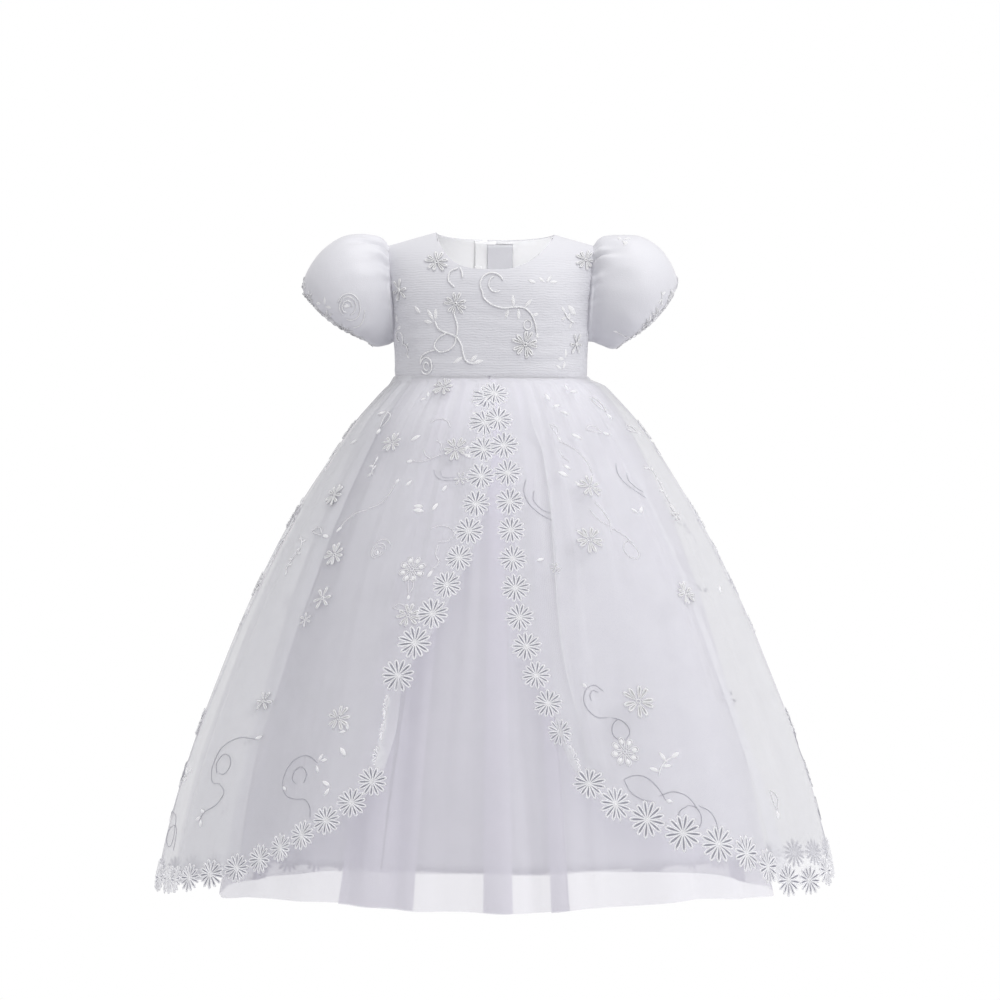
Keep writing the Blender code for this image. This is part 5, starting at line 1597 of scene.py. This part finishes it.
def satin_finish(colours):
    """Polyester satin: threads floated over four others and pressed smooth.

    To the eye: a calm cloth with long soft highlights down its folds.
    """
    tree, place = cloth_finish(
        "polyester_satin", colours.satin, spread=0.03, scale=9.0, roughness=0.42, sheen=0.2
    )
    tree.nodes["Principled BSDF"].inputs["Specular IOR Level"].default_value = 0.55
    # Threads 0.08 mm apart can't show; what shows is their grain, drawn along the cloth's length.
    squeeze = node(tree, "Mapping", {"Vector": place["UV"], "Scale": (700.0, 60.0, 1.0)})
    grain = node(tree, "TexNoise", {"Vector": squeeze.outputs["Vector"], "Scale": 1.0, "Detail": 2.0})
    soft = node(tree, "TexNoise", {"Vector": place["Object"], "Scale": 26.0, "Detail": 3.0})
    total = node(tree, "Math", {0: grain.outputs["Fac"], 1: soft.outputs["Fac"]}, operation="ADD")
    return node(tree, "Bump", {"Height": total.outputs["Value"], "Strength": 0.25, "Distance": 0.0010})


def thread_finish(name, colour, roughness, spacing, let_through=0.12):
    """Rayon or polyester embroidery thread, laid side by side and twisted.

    To the eye: bright raised stitches with small glints. Threads 0.35 mm apart are too fine to show,
    so they are drawn at the given spacing.
    """
    tree, place = cloth_finish(
        name,
        colour,
        spread=0.08,
        scale=300.0,
        roughness=roughness,
        sheen=0.35,
        sheen_roughness=0.25,
    )
    twist = node(
        tree,
        "TexWave",
        {"Vector": place["Object"], "Scale": WAVE_PERIOD / spacing, "Distortion": 2.5, "Detail": 1.0},
        wave_type="BANDS",
        bands_direction="DIAGONAL",
        wave_profile="SIN",
    )
    bump = node(tree, "Bump", {"Height": twist.outputs["Fac"], "Strength": 0.6, "Distance": 0.0004})
    # Loose white thread glows a little where light comes from behind it.
    glow = node(tree, "BsdfTranslucent", {"Color": (*colour, 1.0)})
    shader = tree.nodes["Principled BSDF"]
    both = node(tree, "MixShader", {0: let_through, 1: shader.outputs["BSDF"], 2: glow.outputs["BSDF"]})
    tree.links.new(both.outputs["Shader"], tree.nodes["Material Output"].inputs["Surface"])
    return bump


def lining_finish(colours):
    """Bleached cotton lawn inside the bodice. To the eye: plain bright matt white."""
    tree, place = cloth_finish(
        "bodice_lining", colours.thread, spread=0.02, scale=60.0, roughness=0.8, sheen=0.1
    )
    soft = node(tree, "TexNoise", {"Vector": place["Object"], "Scale": 150.0, "Detail": 3.0})
    return node(tree, "Bump", {"Height": soft.outputs["Fac"], "Strength": 0.2, "Distance": 0.0006})


def ribbon_finish(colours):
    """Woven polyester ribbon with crosswise cords. To the eye: small even ridges, a little gloss."""
    tree, place = cloth_finish(
        "woven_ribbon", colours.lace, spread=0.05, scale=200.0, roughness=0.5, sheen=0.3
    )
    cords = node(
        tree,
        "TexWave",
        {"Vector": place["Object"], "Scale": WAVE_PERIOD / 0.0009, "Distortion": 0.4},
        wave_type="BANDS",
        bands_direction="Z",
    )
    return node(tree, "Bump", {"Height": cords.outputs["Fac"], "Strength": 0.4, "Distance": 0.0003})


def nylon_finish(colours):
    """Moulded nylon and lacquered metal of a white zip. To the eye: smooth, with tight soft glints."""
    tree, place = cloth_finish(
        "moulded_nylon", colours.nylon, spread=0.06, scale=400.0, roughness=0.34, sheen=0.0
    )
    wear = node(tree, "TexNoise", {"Vector": place["Object"], "Scale": 900.0, "Detail": 2.0})
    return node(tree, "Bump", {"Height": wear.outputs["Fac"], "Strength": 0.12, "Distance": 0.0002})


# Painted shade: the flat stitching inside a bloom's corded petals is this much darker than the thread,
# standing for the shadow in their slits.
PETAL_SHADE = 0.62


def finish(name):
    """The material of that name, made once."""
    if name in bpy.data.materials:
        return bpy.data.materials[name]
    sizes, colours = bpy.context.scene.gown_sizes, bpy.context.scene.gown_colours
    shaded = [PETAL_SHADE * c for c in colours.thread]
    makers = {
        "polyester_crepe": lambda: ribbed_crepe(sizes, colours),
        "polyester_organza": lambda: organza_finish(colours),
        "embroidery_net": lambda: net_finish("embroidery_net", colours.net, sizes, 0.4, 0.46, 0.06),
        "nylon_tulle": lambda: net_finish("nylon_tulle", colours.tulle, sizes, 0.53, 0.59, 0.25),
        "polyester_satin": lambda: satin_finish(colours),
        "lace_cord": lambda: thread_finish("lace_cord", colours.lace, 0.55, 0.0012, 0.32),
        # The lace web's grey is painted shade in the daisies' slits.
        "lace_web": lambda: thread_finish("lace_web", colours.lace_web, 0.7, 0.0009, 0.7),
        "embroidery_thread": lambda: thread_finish("embroidery_thread", colours.thread, 0.38, 0.0011),
        "stem_thread": lambda: thread_finish("stem_thread", colours.stem, 0.5, 0.0009, 0.25),
        "petal_stitches": lambda: thread_finish("petal_stitches", shaded, 0.6, 0.0009),
        "bodice_lining": lambda: lining_finish(colours),
        "woven_ribbon": lambda: ribbon_finish(colours),
        "moulded_nylon": lambda: nylon_finish(colours),
    }
    bump = makers[name]()
    material = bpy.data.materials[name]
    shader = material.node_tree.nodes["Principled BSDF"]
    material.node_tree.links.new(bump.outputs["Normal"], shader.inputs["Normal"])
    return material


# ---- operators
def dress(piece, slot, *nodes):
    if nodes:
        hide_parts(*nodes)


class GOWN_OT_bodice(bpy.types.Operator):
    """Sews the ribbed crepe bodice: a front panel and two back panels either side of the zip"""

    bl_idname = "gown.bodice"
    bl_label = "Bodice"

    def execute(self, context):
        cloth = context.scene.gown_sizes.cloth
        panels = (
            ("bodice_front", front_grid(), (0.29, 0.18), 0.033),
            ("bodice_back_left", back_grid(1), (0.15, 0.165), 0.0185),
            ("bodice_back_right", back_grid(-1), (0.145, 0.16), 0.0170),
        )
        for name, grid, flat, area in panels:
            inside = finish("bodice_lining")
            piece = sheet_piece("crepe_" + name, grid, finish("polyester_crepe"), cloth, inside=inside)
            dress(piece, "ribbed_crepe", name)
        return {"FINISHED"}


class GOWN_OT_sleeves(bpy.types.Operator):
    """Sews the puff sleeves, gathered into the armhole and the cuff"""

    bl_idname = "gown.sleeves"
    bl_label = "Puff sleeves"

    def execute(self, context):
        cloth = context.scene.gown_sizes.cloth
        for side, word in SIDES.items():
            name = "sleeve_" + word
            piece = sheet_piece(
                "organza_" + name, sleeve_grid(side), finish("polyester_organza"), cloth, around=True
            )
            dress(piece, "organza", name)
        return {"FINISHED"}


CUFF_SCALLOPS = 34
CUFF_CORD = 0.5  # of the lace's cord


class GOWN_OT_cuff_lace(bpy.types.Operator):
    """Edges each cuff with small corded scallops"""

    bl_idname = "gown.cuff_lace"
    bl_label = "Cuff lace"

    def execute(self, context):
        cord = context.scene.gown_sizes.lace_cord / MM * CUFF_CORD
        for side, word in SIDES.items():
            name = "cuff_lace_" + word
            whole = sleeve_surface(side, np.arange(0, 360, 2.0), SLEEVE_END)
            reach = lengths_along(np.vstack([whole, whole[:1]]))[-1]
            wide = reach / CUFF_SCALLOPS
            centre = whole.mean(axis=0)
            rise = whole[0] - whole[90]
            away = unit(np.array([side * abs(rise[2]), 0.0, -abs(rise[0])]))
            heap = Heap()
            scallop = arc((wide / 2, 0.2), wide * 0.42, 4, 176, 0.55, count=10)
            eyelet = arc((wide / 2, 0.9), wide * 0.13, 0, 330, 1.0, count=8)
            web = np.column_stack([scallop, np.full(len(scallop), 0.15)])
            shapes = [
                thread([(wide * k / 4, 0.2) for k in range(5)], cord, 5),
                thread(scallop, cord, 5),
                (web, [tuple(range(len(web)))], 1),
                thread(eyelet, cord * 0.8, 4, closed=True),
            ]
            for k in range(CUFF_SCALLOPS):
                for points, faces, *mark in shapes:
                    turns = 360.0 * (k + points[:, 0] / wide) / CUFF_SCALLOPS
                    place = sleeve_surface(side, turns, SLEEVE_END - 0.02)
                    out = unit(place - centre)
                    spread = (points[:, 2] - 0.3 + 0.22 * points[:, 1])[:, None]
                    order = faces if side < 0 else [face[::-1] for face in faces]
                    heap.add(place + away * points[:, 1:2] + out * spread, order, *mark)
            piece = heap.piece("scallops_" + name, [finish("lace_cord"), finish("bodice_lining")])
            dress(piece, "guipure_lace", name)
        return {"FINISHED"}


class GOWN_OT_lining(bpy.types.Operator):
    """Hangs the satin lining inside the skirts"""

    bl_idname = "gown.lining"
    bl_label = "Lining"

    def execute(self, context):
        satin = context.scene.gown_sizes.satin
        for panel in ("front", "back"):
            grid, _ = round_grid("lining", panel, columns=110, rows=70)
            piece = sheet_piece("satin_lining_" + panel, grid, finish("polyester_satin"), satin)
            dress(piece, "lining_satin", "lining_" + panel)
        return {"FINISHED"}


class GOWN_OT_tulle(bpy.types.Operator):
    """Hangs the pleated tulle skirt over the lining"""

    bl_idname = "gown.tulle"
    bl_label = "Tulle skirt"

    def execute(self, context):
        for panel in ("front", "back"):
            grid, calm = round_grid("net", panel, columns=300, rows=84, pleats=PLEATS["net " + panel])
            piece = sheet_piece("tulle_skirt_" + panel, grid, finish("nylon_tulle"))
            shade_calmly(piece, calm)
            piece.visible_shadow = False  # net hands on the light that it stops
            dress(piece, "tulle", "net_skirt_" + panel)
        return {"FINISHED"}


class GOWN_OT_overskirt(bpy.types.Operator):
    """Hangs the two halves of the open overskirt of embroidered net"""

    bl_idname = "gown.overskirt"
    bl_label = "Overskirt"

    def execute(self, context):
        for side, word in SIDES.items():
            name = "overskirt_" + word
            grid, calm = over_grid(side)
            piece = sheet_piece("net_" + name, grid, finish("embroidery_net"))
            shade_calmly(piece, calm)
            piece.visible_shadow = False  # net hands on the light that it stops
            dress(piece, "embroidered_net", name)
        return {"FINISHED"}


class GOWN_OT_embroidery(bpy.types.Operator):
    """Stitches flowers, leaves and winding stems on bodice, sleeves and overskirt"""

    bl_idname = "gown.embroidery"
    bl_label = "Embroidery"

    def execute(self, context):
        cord = context.scene.gown_sizes.thread / MM
        # Painted shade: the second material greys the petals' slits.
        # Painted shade: the third material greys the darker stems.
        material = [finish("embroidery_thread"), finish("petal_stitches"), finish("stem_thread")]
        for side, word in SIDES.items():
            motifs = [m for m in FRONT_MOTIFS if m.across * side > 0]
            for number, group in enumerate(g for g in GROUPS if g.angle * side > 0):
                flip = -1 if number % 2 else 1
                for m in UPPER_GROUP + LOWER_GROUPS[number % 2]:
                    across = group.angle + flip * group.spread * m.across
                    down = m.down + GROUP_STEP * flip
                    if across * side < LAST_MOTIF_ANGLE:
                        motifs.append(m._replace(across=across, down=down, turn=m.turn * flip))
            heap = embroider(lambda a, b: skirt_surface("over", a, b), -1, motifs, cord * 0.8, lift=0.35)
            dress(heap.piece("embroidery_overskirt_" + word, material), "embroidered_net")
            motifs = list(SLEEVE_MOTIFS[side])
            for turn in SLEEVE_BACK_TURNS:
                motifs.append(Motif("bud", turn, 5.9, turn, 0.85))
                motifs.append(Motif("leaves", turn + 16, 5.6, 0, 0.75))
            heap = embroider(lambda a, b: sleeve_surface(side, a, b), side, motifs, cord * 0.85, lift=0.2)
            dress(heap.piece("embroidery_sleeve_" + word, material), "organza")
        for panel, motifs in (("front", BODICE_MOTIFS), ("back", BACK_MOTIFS)):
            turned = -FACING[panel]

            def surface(angle, z):
                return bodice_surface(panel, turned * angle, z)

            heap = embroider(surface, 1, motifs, cord * 1.3, lift=0.15)
            dress(heap.piece("embroidery_bodice_" + panel, material), "ribbed_crepe")
        return {"FINISHED"}


class GOWN_OT_daisy_lace(bpy.types.Operator):
    """Lays a chain of lace daisies along the overskirt's front edges and hem"""

    bl_idname = "gown.daisy_lace"
    bl_label = "Daisy lace"

    def execute(self, context):
        sizes = context.scene.gown_sizes
        shape, faces, marks = daisy_shape(sizes.daisy / MM, sizes.petals, sizes.lace_cord / MM)
        chance = random.Random(5)
        for side, word in SIDES.items():
            name = "daisy_trim_" + word
            guide = lace_guide(side)
            heap = Heap()
            for row, spot, travel in trim_stations(side):
                foot, normal, _, _ = guide.find_nearest(Vector(spot))
                normal = np.array(normal)
                if normal[0] * foot[0] + normal[1] * foot[1] < 0:
                    normal = -normal
                travel = unit(travel - normal * travel.dot(normal))
                inward = np.cross(normal, travel) * side
                drop = WAIST_Z - spot[2]
                lift = DAISY_LIFT
                if side > 0:  # the left half lies over the right one at the waist
                    overlap = smoothstep((OVERLAP_ENDS_AT - drop) / OVERLAP_FADE)
                    lift += DAISY_OVERLAP_LIFT * float(overlap)
                turn, size = math.radians(chance.uniform(0, 360)), row.size * chance.uniform(0.97, 1.03)
                u = (shape[:, 0] * math.cos(turn) - shape[:, 1] * math.sin(turn)) * size
                v = (shape[:, 0] * math.sin(turn) + shape[:, 1] * math.cos(turn)) * size * side
                tilt, pivot = math.radians(row.turned), size * sizes.daisy / MM / 2
                leaning = inward * math.cos(tilt) + normal * math.sin(tilt)
                centre = spot + inward * (row.inset + pivot) - leaning * pivot
                placed = centre + u[:, None] * travel + v[:, None] * leaning
                # A daisy stays flat where it turns under, or lies over the other half's lace.
                if row.turned > 4 or lift > DAISY_LIFT + 1:
                    rise = normal * math.cos(tilt) - inward * math.sin(tilt)
                    placed = placed + (shape[:, 2] + lift)[:, None] * rise
                else:
                    placed = laid_on(guide, placed, shape[:, 2] + lift)
                heap.add(placed, faces)
                heap.marks[-len(faces) :] = marks
            # The second material, on the daisies' webs, is painted shade.
            piece = heap.piece("lace_" + name, [finish("lace_cord"), finish("lace_web")])
            piece.visible_shadow = False  # open lace lets most light by
            dress(piece, "guipure_lace", name)
        return {"FINISHED"}


def back_place(x, z, out):
    """Points on the back, a little out of the cloth or in behind it."""
    x, z, out = np.broadcast_arrays(np.asarray(x, float), np.asarray(z, float), np.asarray(out, float))

    def at(x, z):
        return bodice_surface("back", angle_at(x, z), z)

    rise, run = at(x, z + 1) - at(x, z - 1), at(x + 1, z) - at(x - 1, z)
    return at(x, z) + unit(np.cross(rise, run)) * out[..., None]


def strip(name, xs, top, low, out, material, thickness):
    """A strip of cloth down the inside of the back, facing outwards."""
    heights = np.linspace(top, low, 60)
    grid = back_place(np.asarray(xs)[None, ::-1], heights[:, None], out)
    return sheet_piece(name, grid, material, thickness)


TOOTH_PITCH = 0.62
TOOTH_SHIFT = 0.55  # to either side of the middle, and in behind the cloth
TAPE_HALF_WIDTH = 10
TAPE_DEPTH = 1.7  # how far in behind the outer cloth
GUARD_WIDTH = 25
GUARD_DEPTH = 3.0
TAB_EDGES = (-16.5, -9.5)
TAB_DEPTH = 2.9
TAB_BELLY = 0.25


class GOWN_OT_zip(bpy.types.Operator):
    """Sets the coil zip in the back seam, with its tape, slider, pull, guard and bare size tab"""

    bl_idname = "gown.zip"
    bl_label = "Zip"

    def execute(self, context):
        middle = BACK_CENTRE_X
        low, high = (corner[2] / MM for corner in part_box("zip_chain"))
        xs = np.linspace(middle - TAPE_HALF_WIDTH, middle + TAPE_HALF_WIDTH, 15)
        tape = strip("zip_tape", xs, high, low, -TAPE_DEPTH, finish("woven_ribbon"), thickness=0.0007)
        dress(tape, "zip_nylon", "zip_chain")

        bpy.ops.object.select_all(action="DESELECT")
        bpy.ops.mesh.primitive_cylinder_add(
            vertices=6, radius=0.00052, depth=0.0030, rotation=(0, math.pi / 2, 0)
        )
        tooth = context.object
        bpy.ops.object.mode_set(mode="EDIT")
        bpy.ops.mesh.select_all(action="SELECT")
        bpy.ops.mesh.bevel(offset=0.00018, segments=1)
        bpy.ops.object.mode_set(mode="OBJECT")
        bpy.ops.object.transform_apply(location=True, rotation=True, scale=True)
        shape = np.array([v.co[:] for v in tooth.data.vertices]) / MM
        faces = [tuple(p.vertices) for p in tooth.data.polygons]
        bpy.data.objects.remove(tooth, do_unlink=True)
        heap = Heap()
        side = 1
        z = low + 1.0
        while z < high - 0.8:
            x = middle + side * TOOTH_SHIFT + shape[:, 0]
            heap.add(back_place(x, z + shape[:, 2], shape[:, 1] - TOOTH_SHIFT), faces)
            side = -side
            z += TOOTH_PITCH
        coil = heap.piece("zip_coil", [finish("moulded_nylon")])
        dress(coil, "zip_nylon", "zip_chain")

        low, high = (corner[2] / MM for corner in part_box("zip_guard"))
        left = middle + 2.1
        xs = np.linspace(left, left + GUARD_WIDTH, 26)
        cloth = finish("polyester_organza")
        guard = strip("crepe_zip_guard", xs, high, low, -GUARD_DEPTH, cloth, thickness=0.0009)
        dress(guard, "ribbed_crepe", "zip_guard")

        low, high = (corner[2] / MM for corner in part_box("size_tab"))
        xs, heights = np.linspace(*TAB_EDGES, 9), np.linspace(high, low, 14)
        belly = TAB_BELLY * np.sin(np.linspace(0, math.pi, 14))[:, None]
        grid = back_place(xs[None, ::-1], heights[:, None], belly - TAB_DEPTH)
        tab = sheet_piece("ribbon_size_tab", grid, finish("woven_ribbon"), thickness=0.0006)
        dress(tab, "ribbon", "size_tab")

        for name, body in (("zip_slider", "gown"), ("zip_pull", "pull")):
            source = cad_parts[name]
            mesh = source.data.copy()
            mesh.name = "cast_" + name
            mesh.materials.clear()
            piece = new_object("cast_" + name, mesh, finish("moulded_nylon"), body)
            bpy.ops.object.select_all(action="DESELECT")
            context.view_layer.objects.active = piece
            piece.select_set(True)
            bpy.ops.object.mode_set(mode="EDIT")
            bpy.ops.mesh.select_all(action="SELECT")
            bpy.ops.mesh.remove_doubles(threshold=0.00002)
            bpy.ops.mesh.dissolve_limited(angle_limit=math.radians(4))
            bpy.ops.object.mode_set(mode="OBJECT")
            edge = piece.modifiers.new("Rounded edges", "BEVEL")
            edge.width = 0.0003
            edge.segments = 3
            apply_modifiers(piece)
            piece.select_set(True)
            bpy.ops.object.shade_smooth_by_angle(angle=math.radians(40))
            piece.select_set(False)
            dress(piece, "zip_nylon", name)
        return {"FINISHED"}


class GOWN_OT_stage(bpy.types.Operator):
    """Sets the pale floor, the soft lights and the camera"""

    bl_idname = "gown.stage"
    bl_label = "Stage"

    def execute(self, context):
        bpy.ops.object.select_all(action="DESELECT")
        bpy.ops.mesh.primitive_plane_add(size=14.0, location=(0.0, 0.0, 0.0))
        floor = context.object
        floor.name = "pale_floor"
        floor.data.transform(Matrix.Translation((0, 0, -0.76)))
        paper = bpy.data.materials.new("studio_paper")
        paper.use_nodes = True
        tree = paper.node_tree
        shader = tree.nodes["Principled BSDF"]
        shader.inputs["Base Color"].default_value = (*linear("#D8D8DC"), 1.0)
        shader.inputs["Roughness"].default_value = 0.9
        # The camera sees a white sweep, which throws back only the soft light of grey paper.
        seen = node(tree, "LightPath")
        white = node(tree, "Emission", {"Strength": 1.0})
        mix = node(
            tree,
            "MixShader",
            {0: seen.outputs["Is Camera Ray"], 1: shader.outputs["BSDF"], 2: white.outputs["Emission"]},
        )
        tree.links.new(mix.outputs["Shader"], tree.nodes["Material Output"].inputs["Surface"])
        floor.data.materials.append(paper)

        world = bpy.data.worlds.new("studio_air")
        context.scene.world = world
        world.use_nodes = True
        tree = world.node_tree
        tree.nodes.clear()
        seen = node(tree, "LightPath")
        air = node(tree, "Background", {"Color": (1.0, 0.992, 1.0, 1.0), "Strength": 0.68})
        sweep = node(tree, "Background", {"Color": (1.0, 1.0, 1.0, 1.0), "Strength": 1.0})
        mix = node(
            tree,
            "MixShader",
            {
                0: seen.outputs["Is Camera Ray"],
                1: air.outputs["Background"],
                2: sweep.outputs["Background"],
            },
        )
        node(tree, "OutputWorld", {"Surface": mix.outputs["Shader"]})

        # Each lamp: its place, what it is aimed at, its size in metres, its watts and its spread.
        lamps = (
            ("key_softbox", (1.9, -2.4, 1.7), (0.0, 0.0, -0.3), 1.2, 34.0, 180),
            ("top_softbox", (0.3, -0.3, 2.2), (0.0, 0.0, -0.3), 1.6, 24.0, 180),
            ("right_fill", (-1.5, -0.35, -0.66), (-0.22, 0.0, -0.60), 0.6, 0.46, 50),
            ("left_fill", (1.5, -0.15, -0.60), (0.2, 0.0, -0.40), 0.8, 4.2, 180),
            ("neck_fill", (0.016, -0.030, -0.056), (0.024, 0.06, 0.0), 0.03, 0.036, 180),
        )
        for name, place, target, size, power, spread in lamps:
            lamp = bpy.data.lights.new(name, "AREA")
            lamp.shape, lamp.size, lamp.energy = "SQUARE", size, power
            lamp.spread = math.radians(spread)
            light = bpy.data.objects.new(name, lamp)
            light.location = place
            light.rotation_euler = (Vector(target) - Vector(place)).to_track_quat("-Z", "Y").to_euler()
            light.visible_camera = False
            context.scene.collection.objects.link(light)

        camera = bpy.data.objects.new("camera", bpy.data.cameras.new("camera"))
        camera.data.lens = 170.5
        camera.data.sensor_width = 36.0
        camera.location = (0.0085, -4.5, -0.2546)
        camera.rotation_euler = (math.radians(90), 0, 0)
        camera.data.clip_end = 60.0
        context.scene.collection.objects.link(camera)
        context.scene.camera = camera
        context.scene.view_settings.view_transform = "Standard"
        context.scene.view_settings.look = "None"
        return {"FINISHED"}


OPERATORS = (
    GOWN_OT_bodice,
    GOWN_OT_sleeves,
    GOWN_OT_cuff_lace,
    GOWN_OT_lining,
    GOWN_OT_tulle,
    GOWN_OT_overskirt,
    GOWN_OT_embroidery,
    GOWN_OT_daisy_lace,
    GOWN_OT_zip,
    GOWN_OT_stage,
)


class GOWN_PT_sewing(bpy.types.Panel):
    """Lists the steps that dress the gown"""

    bl_label = "Christening gown"
    bl_idname = "GOWN_PT_sewing"
    bl_space_type = "VIEW_3D"
    bl_region_type = "UI"
    bl_category = "Gown"

    def draw(self, context):
        for settings in (context.scene.gown_sizes, context.scene.gown_colours):
            box = self.layout.box()
            for name in settings.__annotations__:
                box.prop(settings, name)
        for operator in OPERATORS:
            self.layout.operator(operator.bl_idname)


CLASSES = (GownSizes, GownColours, *OPERATORS, GOWN_PT_sewing)


def register():
    for entry in CLASSES:
        bpy.utils.register_class(entry)
    bpy.types.Scene.gown_sizes = PointerProperty(type=GownSizes)
    bpy.types.Scene.gown_colours = PointerProperty(type=GownColours)


def unregister():
    del bpy.types.Scene.gown_colours
    del bpy.types.Scene.gown_sizes
    for entry in reversed(CLASSES):
        bpy.utils.unregister_class(entry)


def main():
    register()
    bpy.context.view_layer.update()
    bpy.ops.gown.bodice()
    bpy.ops.gown.sleeves()
    bpy.ops.gown.cuff_lace()
    bpy.ops.gown.lining()
    bpy.ops.gown.tulle()
    bpy.ops.gown.overskirt()
    bpy.ops.gown.embroidery()
    bpy.ops.gown.daisy_lace()
    bpy.ops.gown.zip()
    bpy.ops.gown.stage()


if __name__ == "__main__":
    main()
